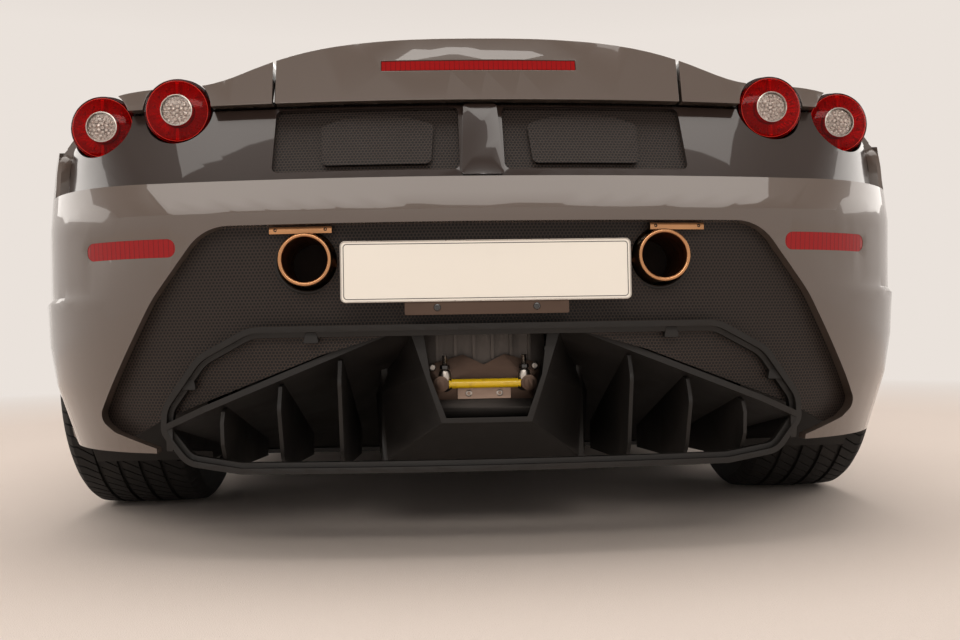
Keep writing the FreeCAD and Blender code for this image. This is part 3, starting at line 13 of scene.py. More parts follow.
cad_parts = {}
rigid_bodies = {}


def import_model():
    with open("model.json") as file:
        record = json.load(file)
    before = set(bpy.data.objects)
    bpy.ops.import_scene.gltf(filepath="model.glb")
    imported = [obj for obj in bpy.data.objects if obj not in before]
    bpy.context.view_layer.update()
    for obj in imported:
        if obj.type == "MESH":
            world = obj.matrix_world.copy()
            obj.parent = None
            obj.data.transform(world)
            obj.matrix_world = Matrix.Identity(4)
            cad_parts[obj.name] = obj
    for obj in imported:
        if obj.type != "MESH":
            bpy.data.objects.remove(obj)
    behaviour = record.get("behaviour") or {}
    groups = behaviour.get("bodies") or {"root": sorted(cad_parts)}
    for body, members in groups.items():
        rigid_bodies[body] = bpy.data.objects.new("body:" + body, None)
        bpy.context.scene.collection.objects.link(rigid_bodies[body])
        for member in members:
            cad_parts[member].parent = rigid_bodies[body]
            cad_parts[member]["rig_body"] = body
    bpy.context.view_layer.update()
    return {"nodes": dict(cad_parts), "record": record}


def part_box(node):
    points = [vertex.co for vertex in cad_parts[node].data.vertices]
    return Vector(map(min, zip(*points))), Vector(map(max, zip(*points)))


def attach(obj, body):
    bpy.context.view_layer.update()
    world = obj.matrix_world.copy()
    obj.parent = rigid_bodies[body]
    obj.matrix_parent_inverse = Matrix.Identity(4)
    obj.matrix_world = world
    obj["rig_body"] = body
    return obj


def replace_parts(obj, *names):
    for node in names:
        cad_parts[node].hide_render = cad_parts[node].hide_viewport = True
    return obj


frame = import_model()
NODES = frame["nodes"]
BODY_OF = {name: obj["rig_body"] for name, obj in NODES.items()}
SLOT_OF = {row["node"]: row["material_slot"] for row in frame["record"]["subparts"]}
SIDES = ((1, "left"), (-1, "right"))
MATERIALS = {}

# Driving sizes, as the solids have them.
REAR_AXLE = 1.404
FRONT_AXLE = -1.196
TAIL = 2.256
LAMP_RADIUS = 0.064
LAMP_PLACES = ((0.756, 0.841), (0.591, 0.859))
PIPE_X = 0.323
PIPE_HEIGHT = 0.548
PIPE_RADIUS = 0.046
PLATE_HALF_WIDTH = 0.26
PLATE_HALF_HEIGHT = 0.055
PLATE_CENTRE = 0.524
SEAT_X = 0.37
# Wheel: place along the car, distance from the middle, tyre radius, tyre width, rim's face from its centre
AXLES = {
    "front": (FRONT_AXLE, 0.834, 0.323, 0.235, 0.0635),
    "rear": (REAR_AXLE, 0.808, 0.341, 0.285, 0.0885),
}
RIM_RADIUS = 0.2413
RIM_LIP = 0.2503
# Angles in degrees over which an edge stays sharp and over which it is rounded, and the weld between facets
SHARP = 32
ROUNDED = 35
WELD = 0.00002


# Materials

def linear(red, green, blue):
    """A colour given as 0 to 255 in sRGB, as the shader wants it."""
    def channel(value):
        value /= 255
        return value / 12.92 if value <= 0.04045 else ((value + 0.055) / 1.055) ** 2.4
    return (channel(red), channel(green), channel(blue), 1.0)


class Finish:
    """A material under construction: its shader and short calls that add nodes to it."""

    def __init__(self, name, colour, roughness, **sockets):
        self.material = MATERIALS[name] = bpy.data.materials.new(name)
        self.material.use_nodes = True
        self.tree = self.material.node_tree
        self.shader = self.tree.nodes["Principled BSDF"]
        self.colour = linear(*colour)
        self.fill(self.shader, Base_Color=self.colour, Roughness=roughness, **sockets)
        self.coords = self.node("TexCoord").outputs["Object"]

    def put(self, socket, value):
        """Join a socket to another node's output, or set it to a number or colour."""
        if isinstance(value, bpy.types.NodeSocket):
            self.tree.links.new(value, socket)
        else:
            socket.default_value = value

    def fill(self, node, **sockets):
        for name, value in sockets.items():
            self.put(node.inputs[name.replace("_", " ")], value)

    def node(self, kind, **sockets):
        node = self.tree.nodes.new("ShaderNode" + kind)
        self.fill(node, **sockets)
        return node

    def noise(self, scale, detail=3.0, stretch=None):
        place = self.coords
        if stretch:
            place = self.node("Mapping", Scale=stretch, Vector=place).outputs["Vector"]
        return self.node("TexNoise", Scale=scale, Detail=detail, Vector=place).outputs["Fac"]

    def cells(self, scale, feature="F1"):
        node = self.node("TexVoronoi", Scale=scale, Vector=self.coords)
        node.feature = feature
        return node.outputs["Distance"]

    def between(self, value, low, high, start=0.0, end=1.0):
        """A value carried from the range low to high into start to end, held at both ends."""
        return self.node("MapRange", From_Min=low, From_Max=high, To_Min=start, To_Max=end,
                         Value=value).outputs["Result"]

    def math(self, operation, *values):
        node = self.node("Math")
        node.operation = operation
        for socket, value in zip(node.inputs, values):
            self.put(socket, value)
        return node.outputs[0]

    def tint(self, factor, colour, strength=1.0):
        """Blend the base colour towards another by a value from 0 to 1."""
        mix = self.node("Mix")
        mix.data_type = "RGBA"
        first, second = [socket for socket in mix.inputs if socket.type == "RGBA"]
        base = self.shader.inputs["Base Color"]
        self.put(first, base.links[0].from_socket if base.is_linked else self.colour)
        self.put(second, linear(*colour))
        self.put(mix.inputs[0], self.math("MULTIPLY", factor, strength) if strength < 1.0 else factor)
        self.put(base, next(socket for socket in mix.outputs if socket.type == "RGBA"))

    def rough(self, factor, low, high):
        self.put(self.shader.inputs["Roughness"], self.between(factor, 0.0, 1.0, low, high))

    def bump(self, height, distance, strength):
        """Raise the surface by a value."""
        node = self.node("Bump", Strength=strength, Distance=distance, Height=height)
        self.put(self.shader.inputs["Normal"], node.outputs["Normal"])

    def axes(self):
        return dict(zip("xyz", self.node("SeparateXYZ", Vector=self.coords).outputs))


def paint():
    """Solid warm grey under clear lacquer, with the faint ripple that sprayed paint has."""
    finish = Finish("paint", (88, 74, 65), 0.4, Coat_Weight=1.0, Coat_Roughness=0.02, Coat_IOR=1.55)
    finish.tint(finish.noise(900, 1.0), (102, 87, 77), 0.35)
    finish.tint(finish.noise(2.2, 2.0), (80, 67, 59), 0.4)
    finish.bump(finish.noise(260, 2.0), 0.00002, 0.25)


def clouded(name, colour, other, roughness, clouds, grain, **sockets):
    """A finish with soft clouds of another colour and a fine grain.

    clouds: scale, detail, the values at which they start and are full, strength.
    grain: scale, detail, depth, strength.
    """
    finish = Finish(name, colour, roughness, **sockets)
    scale, detail, start, full, strength = clouds
    finish.tint(finish.between(finish.noise(scale, detail), start, full), other, strength)
    scale, detail, depth, strength = grain
    finish.bump(finish.noise(scale, detail), depth, strength)


def moulded_plastic():
    """Grained black plastic, paler and smoother where hands and stones have rubbed it."""
    finish = Finish("dark_plastic", (23, 20, 18), 0.55, Specular_IOR_Level=0.4)
    wear = finish.between(finish.noise(7, 6.0), 0.5, 0.75)
    finish.tint(wear, (40, 34, 30), 0.55)
    finish.rough(wear, 0.5, 0.68)
    finish.bump(finish.cells(900), 0.0002, 0.5)


def carbon():
    """Clear-coated carbon twill, where two runs of fibre cross on the slant."""
    finish = Finish("carbon", (20, 19, 19), 0.35, Coat_Weight=0.7, Coat_Roughness=0.08)
    axes = finish.axes()
    tow = 0.004
    runs = [finish.math("FRACT", finish.math("DIVIDE", finish.math(slant, axes["x"], axes["z"]), tow))
            for slant in ("ADD", "SUBTRACT")]
    twill = finish.math("GREATER_THAN", finish.math("ADD", *runs), 1.0)
    finish.tint(twill, (44, 41, 39), 0.6)
    finish.bump(twill, 0.0001, 0.3)


def wire_mesh(name, axis):
    """Black expanded mesh over one flat axis and the height: satin wires round hexagonal holes, whose
    near-black colour is painted shade.
    """
    # The base colour is the holes' colour: painted shade behind the wires
    finish = Finish(name, (5, 4, 4), 0.5, Specular_IOR_Level=0.35)
    pitch, tall = 0.0065, math.sqrt(3)
    axes = finish.axes()
    grids = []
    for shift in (0.0, 0.5):
        across = finish.math("ADD", finish.math("DIVIDE", axes[axis], pitch), shift)
        along = finish.math("ADD", finish.math("DIVIDE", axes["z"], pitch * tall), shift)
        u = finish.math("SUBTRACT", finish.math("FRACT", across), 0.5)
        v = finish.math("MULTIPLY", finish.math("SUBTRACT", finish.math("FRACT", along), 0.5), tall)
        squares = finish.math("ADD", finish.math("MULTIPLY", u, u), finish.math("MULTIPLY", v, v))
        grids.append(finish.math("SQRT", squares))
    wires = finish.between(finish.math("MINIMUM", *grids), 0.3, 0.4)
    finish.tint(wires, (56, 45, 39))
    finish.bump(wires, 0.0012, 0.9)


def metal(name, colour, roughness, grain):
    """Bare metal with fine drawn or machined lines and faint stains."""
    finish = Finish(name, colour, roughness, Metallic=1.0)
    lines = finish.noise(1.0, 4.0, grain)
    finish.rough(lines, max(roughness - 0.12, 0.03), roughness + 0.14)
    stain = finish.between(finish.noise(9, 5.0), 0.5, 0.8)
    finish.tint(stain, [int(c * 0.6) for c in colour], 0.4)
    finish.bump(lines, 0.00003, 0.5)


def hide():
    finish = Finish("hide", (34, 30, 28), 0.48, Specular_IOR_Level=0.45)
    creases = finish.cells(420, "DISTANCE_TO_EDGE")
    finish.tint(finish.between(finish.noise(10, 5.0), 0.5, 0.8), (56, 48, 44), 0.5)
    finish.bump(finish.between(creases, 0.0, 0.12), 0.0003, 0.5)


def heated_steel():
    """Exhaust pipe: brushed steel that heat has turned copper and straw."""
    finish = Finish("steel", (178, 140, 112), 0.28, Metallic=1.0)
    lines = finish.noise(1.0, 4.0, (30, 900, 30))
    finish.tint(finish.between(finish.noise(18, 5.0), 0.35, 0.7), (120, 84, 62), 0.7)
    finish.tint(finish.between(finish.noise(40, 4.0), 0.55, 0.8), (70, 62, 70), 0.6)
    finish.rough(lines, 0.18, 0.42)
    finish.bump(lines, 0.00004, 0.5)


def lamp_red():
    """Red plastic: clear gloss over deep red, moulded in narrow upright cells."""
    colour, pitch = (150, 5, 7), 0.0095
    finish = Finish("lamp_red", colour, 0.1, Coat_Weight=0.25, Coat_Roughness=0.02, Specular_IOR_Level=0.22)
    cell = finish.math("FRACT", finish.math("DIVIDE", finish.axes()["x"], pitch))
    ridge = finish.math("ABSOLUTE", finish.math("SUBTRACT", cell, 0.5))
    finish.tint(finish.between(ridge, 0.4, 0.5), [c // 3 for c in colour], 0.7)
    finish.bump(finish.math("ADD", ridge, finish.math("MULTIPLY", finish.cells(420), 0.3)), 0.0006, 0.5)


def reflectors():
    """A lamp's red metallized bowl, and bright reflectors pressed into small pillows."""
    bowl = Finish("bowl_red", (240, 84, 72), 0.24, Metallic=0.35)
    bowl.tint(bowl.noise(90, 2.0), (190, 36, 34), 0.6)
    bright = Finish("facets", (246, 238, 232), 0.16, Metallic=0.25)
    pillows = bright.cells(260)
    bright.tint(bright.between(pillows, 0.1, 0.7), (196, 174, 166), 0.7)
    bright.bump(pillows, 0.002, 0.8)


def make_materials():
    paint()
    moulded_plastic()
    carbon()
    wire_mesh("dark_mesh", "x")
    wire_mesh("side_mesh", "y")
    hide()
    heated_steel()
    lamp_red()
    reflectors()
    for name, colour, roughness, refraction in (
            ("glass", (186, 190, 186), 0.0, 1.5), ("lamp_clear", (236, 236, 232), 0.0, 1.5),
            ("screen", (206, 214, 210), 0.0, 1.5), ("lens_red", (206, 6, 6), 0.03, 1.2),
            ("lens_clear", (250, 248, 246), 0.02, 1.25)):
        Finish(name, colour, roughness, Transmission_Weight=1.0, IOR=refraction)
    for name, colour, roughness, grain in (
            ("bright_metal", (190, 182, 174), 0.3, (400, 400, 8)),
            ("rim_metal", (150, 148, 146), 0.34, (60, 60, 60)),
            ("disc_metal", (120, 118, 116), 0.38, (30, 300, 300)),
            ("copper", (198, 146, 104), 0.22, (30, 300, 30)),
            ("clamp_metal", (158, 136, 122), 0.4, (40, 400, 400)),
            ("bracket_metal", (92, 76, 67), 0.42, (40, 400, 400))):
        metal(name, colour, roughness, grain)
    for name, colour, roughness in (("tub_metal", (70, 70, 70), 0.5), ("arm_metal", (112, 112, 114), 0.45),
                                    ("engine_metal", (98, 92, 88), 0.5)):
        clouded(name, colour, [c // 2 for c in colour], roughness, (12, 5, 0.45, 0.75, 0.6),
                (420, 3, 0.0003, 0.6), Metallic=0.85)
    # A darker brown copy of the body paint, for the body-coloured tail panel: painted shade and painted dark
    # reflection
    clouded("paint_darkened_as_shade", (44, 32, 27), (32, 23, 20), 0.3, (5, 3, 0, 1, 0.5), (240, 2, 0.00002, 0.3),
            Coat_Weight=1.0, Coat_Roughness=0.02)
    clouded("gloss_black", (24, 20, 18), (38, 31, 28), 0.2, (14, 3, 0, 1, 0.5), (300, 2, 0.00002, 0.3),
            Coat_Weight=1.0, Coat_Roughness=0.03)
    clouded("tyre", (25, 23, 22), (60, 54, 49), 0.7, (11, 6, 0.5, 0.8, 0.35), (500, 3, 0.0002, 0.5),
            Specular_IOR_Level=0.35)
    clouded("trim", (30, 28, 27), (50, 46, 44), 0.9, (60, 5, 0, 1, 0.6), (900, 2, 0.0003, 0.5),
            Sheen_Weight=0.5, Sheen_Roughness=0.5)
    clouded("yellow_paint", (240, 196, 24), (160, 110, 20), 0.35, (60, 5, 0.55, 0.8, 0.5),
            (300, 3, 0.0001, 0.4),
            Coat_Weight=0.6, Coat_Roughness=0.1)
    clouded("plate_white", (248, 240, 228), (222, 212, 198), 0.3, (16, 6, 0.6, 0.95, 0.15),
            (60, 2, 0.00015, 0.4),
            Coat_Weight=0.5, Coat_Roughness=0.12)
    fine = (360, 2, 0.00005, 0.4)
    # Bright red-orange for the tail lamps' painted highlights
    clouded("highlight_red", (255, 84, 66), (226, 50, 40), 0.3, (30, 4, 0.4, 0.8, 0.6), fine)
    # Black for soot and rubber, and near-black as painted shade in the door handles' recesses
    clouded("black_soot_and_shade", (12, 10, 9), (27, 23, 21), 0.8, (30, 4, 0.4, 0.8, 0.6), fine)
    clouded("mirror_face", (205, 208, 210), (196, 199, 202), 0.03, (3, 4, 0.4, 0.8, 0.6),
            (36, 2, 0.00005, 0.4),
            Metallic=1.0)
    for node, obj in NODES.items():
        obj.data.materials.clear()
        obj.data.materials.append(MATERIALS[SLOT_OF[node]])


# Ways of making meshes

def link(name, mesh, material, body="root"):
    """Put a mesh or curve into the scene, riding on a body."""
    obj = bpy.data.objects.new(name, mesh)
    bpy.context.scene.collection.objects.link(obj)
    if material is not None:
        mesh.materials.clear()
        mesh.materials.append(MATERIALS[material])
    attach(obj, body)
    return obj


def made(form, name, material, body="root", angle=SHARP, outward=True):
    """Turn finished mesh work into a smooth piece, its faces turned outward."""
    if outward:
        bmesh.ops.recalc_face_normals(form, faces=form.faces)
    mesh = bpy.data.meshes.new(name)
    form.to_mesh(mesh)
    form.free()
    mesh.shade_smooth()
    mesh.set_sharp_from_angle(angle=math.radians(angle))
    return link(name, mesh, material, body)


def bridge(form, rings, closed=True, capped=False):
    """Faces between each ring of points and the next. A closed ring's last point meets its first."""
    for here, there in zip(rings, rings[1:]):
        for k in range(len(here) if closed else len(here) - 1):
            j = (k + 1) % len(here)
            form.faces.new((here[k], there[k], there[j], here[j]))
    for ring in (rings[0], rings[-1]) if capped else ():
        form.faces.new(ring)


def soften(obj, width, angle=ROUNDED):
    """Rounded edges, as pressed, moulded or machined pieces have."""
    bevel = obj.modifiers.new("edges", "BEVEL")
    bevel.width = width
    bevel.segments = 2
    bevel.limit_method = "ANGLE"
    bevel.angle_limit = math.radians(angle)
    bevel.harden_normals = True
    return obj


def walled(obj, thickness, offset=-1):
    """Give an open surface a wall."""
    wall = obj.modifiers.new("wall", "SOLIDIFY")
    wall.thickness = thickness
    wall.offset = offset
    return obj


def welded(node):
    """A CAD node's mesh, copied for editing, with its facets joined at their corners."""
    form = bmesh.new()
    form.from_mesh(NODES[node].data)
    bmesh.ops.remove_doubles(form, verts=form.verts, dist=WELD)
    return form


def dressed(node, edge=0.0, material=None):
    """A finer copy of a CAD node: joined corners, smooth faces and rounded edges."""
    form = welded(node)
    bmesh.ops.dissolve_degenerate(form, edges=form.edges, dist=WELD / 2)
    obj = made(form, node + "_skin", material or SLOT_OF[node], BODY_OF[node], outward=False)
    if edge:
        soften(obj, edge, SHARP + 5)
    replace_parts(obj, node)
    return obj


def oriented(axis, u, v, along):
    """Two places across an axis and one along it, as a point."""
    return {"x": Vector((along, u, v)), "y": Vector((u, along, v)), "z": Vector((u, v, along))}[axis]


def on_circle(axis, radius, turn, along):
    return oriented(axis, radius * math.cos(turn), radius * math.sin(turn), along)


def turned(name, profile, centre, material, body="root", steps=96, axis="y", angle=SHARP):
    """A ring or bowl turned about an axis. The profile's points are (radius, place along the axis)."""
    form = bmesh.new()
    rings = [[form.verts.new(on_circle(axis, radius, 2 * math.pi * step / steps, along))
              for radius, along in profile] for step in range(steps)]
    bridge(form, rings + rings[:1], closed=False)
    bmesh.ops.remove_doubles(form, verts=form.verts, dist=1e-7)
    bmesh.ops.translate(form, verts=form.verts, vec=centre)
    return made(form, name, material, body, angle)


def box_corners(u0, u1, v0, v1, radius, flare=0.0):
    """A flat rectangle's rounded corners. A flare lengthens its far side at both ends."""
    return [(u0, v0, radius), (u1, v0, radius), (u1 + flare, v1, radius), (u0 - flare, v1, radius)]


def rounded(points, steps=6):
    """Flat outline with each corner rounded: points are (u, v, radius)."""
    result = []
    for i, (u, v, radius) in enumerate(points):
        here = Vector((u, v))
        back = Vector(points[i - 1][:2]) - here
        ahead = Vector(points[(i + 1) % len(points)][:2]) - here
        angle = back.angle(ahead)
        reach = min(radius / math.tan(angle / 2), back.length * 0.48, ahead.length * 0.48)
        radius = reach * math.tan(angle / 2)
        middle = here + (back.normalized() + ahead.normalized()).normalized() * (radius / math.sin(angle / 2))
        first = here + back.normalized() * reach - middle
        last = here + ahead.normalized() * reach - middle
        sweep = first.angle_signed(last)
        for step in range(steps + 1):
            result.append(middle + Matrix.Rotation(-sweep * step / steps, 2) @ first)
    return result


def slabbed(name, points, axis, low, high, material, edge=0.0):
    """A flat outline given thickness along an axis, with softened edges."""
    form = bmesh.new()
    outline = rounded(points) if len(points[0]) > 2 else points
    ends = [[form.verts.new(oriented(axis, u, v, along)) for u, v in outline] for along in (low, high)]
    bridge(form, ends, capped=True)
    obj = made(form, name, material)
    return soften(obj, edge) if edge else obj


def tube(name, points, radius, material, body="root", closed=False, order=3):
    """A round bead or pipe along a smooth line through given points."""
    curve = bpy.data.curves.new(name, "CURVE")
    curve.dimensions = "3D"
    curve.bevel_depth = radius
    curve.bevel_resolution = 4
    curve.resolution_u = 8
    curve.use_fill_caps = True
    spline = curve.splines.new("NURBS")
    spline.points.add(len(points) - 1)
    for place, point in zip(spline.points, points):
        place.co = (*point, 1.0)
    spline.use_cyclic_u = closed
    spline.use_endpoint_u = not closed
    spline.order_u = order
    return link(name, curve, material, body)


def rounded_head(name, places, radius, height, axis, material, body="root"):
    """Low domed screw heads with a hexagon socket, all in one piece. Places are points on the surface."""
    form = bmesh.new()
    sides = 20
    # Level: spread, rise, angle between corners, corners to a side
    dome = ((1.0, 0.0), (1.0, 0.45), (0.86, 0.85), (0.62, 1.0), (0.5, 1.0))
    levels = [(spread, rise, 2 * math.pi / sides, 1) for spread, rise in dome]
    levels += [(0.5, rise, math.pi / 3, 6 / sides) for rise in (1.0, 0.35)]
    for place in places:
        rings = [[form.verts.new(Vector(place) + on_circle(axis, radius * spread, turn * int(k * share),
                                                           height * rise)) for k in range(sides)]
                 for spread, rise, turn, share in levels]
        bridge(form, rings)
        form.faces.new(rings[-1])
    bmesh.ops.remove_doubles(form, verts=form.verts, dist=1e-6)
    return made(form, name, material, body)


class Surface:
    """Finds where a straight line meets a CAD node, so that fine pieces sit on what carries them."""

    def __init__(self, *nodes):
        form = bmesh.new()
        for node in nodes:
            form.from_mesh(NODES[node].data)
        self.tree = BVHTree.FromBMesh(form)
        form.free()

    def meet(self, axis, side, u, v):
        """Where a line that comes in along an axis, from its far or near end, first meets the node."""
        start, way = oriented(axis, u, v, 4.0 * side), oriented(axis, 0, 0, -side)
        hit, normal, face, distance = self.tree.ray_cast(start, way)
        return hit, normal

    def behind(self, x, z):
        """The rearmost point of the node at a place across and a height."""
        return self.meet("y", 1, x, z)[0]


def laid(name, points, axis, side, surface, rise, wall, material, body):
    """A flat outline pressed onto a surface, standing a little proud of it."""
    cell = 0.02
    outline = rounded(points)
    form = bmesh.new()
    form.faces.new([form.verts.new(oriented(axis, u, v, 0.0)) for u, v in outline])
    for k, (du, dv) in enumerate(((1, 0), (0, 1))):
        places = [point[k] for point in outline]
        count = max(1, math.ceil((max(places) - min(places)) / cell))
        for step in range(1, count):
            at = min(places) + (max(places) - min(places)) * step / count
            everything = form.verts[:] + form.edges[:] + form.faces[:]
            bmesh.ops.bisect_plane(form, geom=everything, plane_co=oriented(axis, at * du, at * dv, 0.0),
                                   plane_no=oriented(axis, du, dv, 0.0))
    for vert in form.verts:
        u, v = [vert.co[k] for k in range(3) if "xyz"[k] != axis]
        hit, normal = surface.meet(axis, side, u, v)
        vert.co = hit + normal * rise
    obj = made(form, name, material, body)
    outward = oriented(axis, 0, 0, side)
    if sum(face.normal.dot(outward) * face.area for face in obj.data.polygons) < 0:
        obj.data.flip_normals()
    return walled(obj, wall)


def rim_line(node, outward):
    """The line around a pane's outer face, in order and evenly spaced."""
    gap = 0.012
    form = welded(node)
    form.normal_update()
    beside = {}
    for edge in form.edges:
        facing = [face.normal.dot(outward) > 0.3 for face in edge.link_faces]
        if len(facing) == 2 and facing[0] != facing[1] and edge.calc_face_angle() > 0.7:
            first, second = edge.verts
            beside.setdefault(first.index, []).append(second.index)
            beside.setdefault(second.index, []).append(first.index)
    places = [vert.co.copy() for vert in form.verts]
    form.free()
    line = [min(beside)]
    while True:
        onward = [other for other in beside[line[-1]] if other not in line]
        if not onward:
            break
        line.append(onward[0])
    points = [places[index] for index in line]
    total, even = gap, []
    for here, there in zip(points, points[1:] + points[:1]):
        total += (there - here).length
        if total >= gap:
            even.append(there)
            total = 0.0
    return even


PAINTED = ("front_bumper", "front_wings", "roof", "side_sills", "rear_quarters", "rear_bumper", "front_lid",
           "engine_lid", "door_left", "door_right", "mirror_left", "mirror_right")
# How far each other node's edges are rounded
EDGES = {"diffuser": 0.0025, "gearbox": 0.003, "engine": 0.004, "exhaust": 0.002, "dashboard": 0.006,
         "steering_wheel": 0.002, "suspension_arms": 0.002, "knuckle_left": 0.002, "knuckle_right": 0.002,
         "rear_uprights": 0.002, "undertray": 0.001, "rear_reflectors": 0.001}
PANES = ("windscreen", "engine_lid_glass", "door_glass_left", "door_glass_right")


def dress_nodes():
    for node in PAINTED:
        dressed(node, 0.0015)
    # The tail panel is body-coloured; its darker brown paint is painted shade and painted dark reflection
    dressed("tail_panel", 0.0012, "paint_darkened_as_shade")
    for node, edge in EDGES.items():
        dressed(node, edge)
    dressed("tie_bracket", 0.0006, "bracket_metal")
    for node in PANES:
        dressed(node)
    for end in AXLES:
        for side, hand in SIDES:
            dressed(f"rim_{end}_{hand}", 0.0015)
            dressed(f"hub_{end}_{hand}", 0.001)
    # The grilles behind the doors face sideways, so their weave runs along the car
    grilles = dressed("intake_grilles").data
    grilles.materials.append(MATERIALS["side_mesh"])
    for face in grilles.polygons:
        if abs(face.normal.x) > 0.7 and face.center.y > 0:
            face.material_index = 1


# Tyres, with their tread cut as real blocks, and the wheels' small fasteners

def tyre(node, centre, radius, width, body):
    """One closed ring: bead, sidewalls, and a tread of four grooves, slanting sipes and shoulder blocks."""
    pitches, depth, slant = 72, 0.0065, 2.2
    # Within a pitch: place, and whether the cross groove is open there
    phases = ((0.0, 0), (0.035, 1), (0.14, 1), (0.175, 0), (0.45, 0), (0.75, 0))
    half = width / 2
    crown = half - 0.032
    grooves = [crown * place for place in (-0.66, -0.22, 0.22, 0.66)]
    # From the bead outward: radius, and how far inside the tyre's side
    wall = ((RIM_RADIUS + 0.0003, 0.0157), (RIM_LIP + 0.0002, 0.0155), (RIM_LIP + 0.0012, 0.0076),
            (0.257, 0.0032),
            (0.26, 0.0012), (0.2615, 0.0024), (0.264, 0.0006), (0.28, 0.0002), (radius - 0.036, 0.0008),
            (radius - 0.03, 0.0022), (radius - 0.0285, 0.0014), (radius - 0.02, 0.0062))
    # Across the tyre: place, radius, and the shares of the long grooves' and the cross grooves' depth
    side = [(half - inset, level, 0.0, 0.0) for level, inset in wall]
    side += [(half - 0.014, radius - 0.0105, 0.0, 0.8), (half - 0.022, radius - 0.0048, 0.0, 1.0)]
    tread = [(crown, 0.0, 1.0), (-crown, 0.0, 1.0)]
    for place in grooves:
        for at, cut, sipe in ((0.0052, 0.0, 0.0), (0.0042, 1.0, 0.0), (0.0056, 0.0, 0.45)):
            tread += [(place + sign * at, cut, sipe) for sign in (-1, 1)]
    rows = side[:]
    for x, cut, sipe in sorted(tread, reverse=True):
        sipe = 1.0 if abs(x) > grooves[-1] + 0.005 else sipe
        rows.append((x, radius - 0.0035 * (x / crown) ** 2, cut, sipe))
    rows += [(-x, *others) for x, *others in reversed(side)]
    form = bmesh.new()
    rings = []
    for pitch in range(pitches):
        for place, is_open in phases:
            ring = []
            for x, level, cut, sipe in rows:
                turn = 2 * math.pi * (pitch + place) / pitches + slant * max(-crown, min(crown, x))
                reach = level - depth * max(cut, sipe * is_open)
                ring.append(form.verts.new(centre + on_circle("x", reach, turn, x)))
            rings.append(ring)
    bridge(form, rings + rings[:1])
    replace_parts(made(form, node + "_tread", "tyre", body, 28), node)


def make_wheels():
    for end, (axle, track, radius, width, face) in AXLES.items():
        for side, hand in SIDES:
            name = f"{end}_{hand}"
            body = BODY_OF["tyre_" + name]
            centre = Vector((side * track, axle, radius))
            tyre("tyre_" + name, centre, radius, width, body)
            hub = centre + Vector((side * face, 0, 0))
            cap = ((0.0, 0.0055), (0.018, 0.005), (0.026, 0.003), (0.028, -0.001))
            turned(f"cap_{name}", [(reach, side * out) for reach, out in cap], hub, "rim_metal", body,
                   48, "x")
            places = [hub + on_circle("x", 0.052, 2 * math.pi * k / 5 + 0.3, 0.0) for k in range(5)]
            rounded_head(f"bolts_{name}", places, 0.0095, side * 0.007, "x", "bright_metal",
                         body)


# Tail lamps: housing, ribbed reflector bowl, red lens ring and clear middle

def lamp(name, x, z, front):
    """One lamp. Its pieces lie ahead of front, where the middle of its lens is."""
    rim, inner = LAMP_RADIUS, 0.0292
    dome = 2.4 * rim

    def level(radius):
        return math.sqrt(dome ** 2 - radius ** 2) - dome

    def ring(inside, outside, top, slope, foot):
        return [(inside, top - slope), (outside, top), (outside, foot), (inside, foot), (inside, top - slope)]

    steps = [0.0, 0.2, 0.4, 0.6, 0.8, 1.0]
    face = [(inner + 0.0018 + (rim - 0.0048 - inner) * t,
             level(inner + (rim - 0.003 - inner) * t)) for t in steps]
    back = [(radius, along - 0.003) for radius, along in reversed(face)]
    edge = [(rim, face[-1][1] - 0.003), (rim, -0.03), (rim - 0.003, -0.03)]
    housing = [(0.0, -0.088), (0.0685, -0.088), (0.0685, -0.036), (rim - 0.001, -0.034),
               (rim - 0.001, -0.018),
               (rim - 0.004, -0.018), (rim - 0.004, -0.03)]
    middle = [(inner * t, level(inner * t) + 0.001) for t in steps] + [(inner, level(inner) - 0.006),
                                                                       (0.0, -0.006)]
    # The bright red ring near the lamp's rim and the bars above and below its middle are painted highlights
    for label, profile, material, slot in (
            ("housing", housing, "gloss_black", "lamp_red"),
            ("lens", face + edge + back + face[:1], "lens_red", "lamp_red"),
            ("middle", middle, "lens_clear", "lamp_clear"),
            ("collar", ring(inner - 0.0006, inner + 0.0016, -0.0034, -0.0004, -0.026), "bright_metal",
             "lamp_clear"),
            ("star", [(0.0, -0.019), (inner - 0.001, -0.0135)], "facets", "lamp_clear"),
            ("rim_light", ring(rim - 0.0062, rim - 0.0045, -0.0115, 0.001, -0.015), "highlight_red", "lamp_red")):
        turned(f"{name}_{label}", profile, (x, front, z), material)
    for end, way in (("high", 1), ("low", -1)):
        bar = box_corners(x - 0.0022, x + 0.0022, z + way * 0.034, z + way * (rim - 0.0075), 0.0008, 0.0013)
        slabbed(f"{name}_bar_{end}", bar, "y", front - 0.0235, front - 0.0125, "highlight_red")
    bowl(name, Vector((x, front, z)))


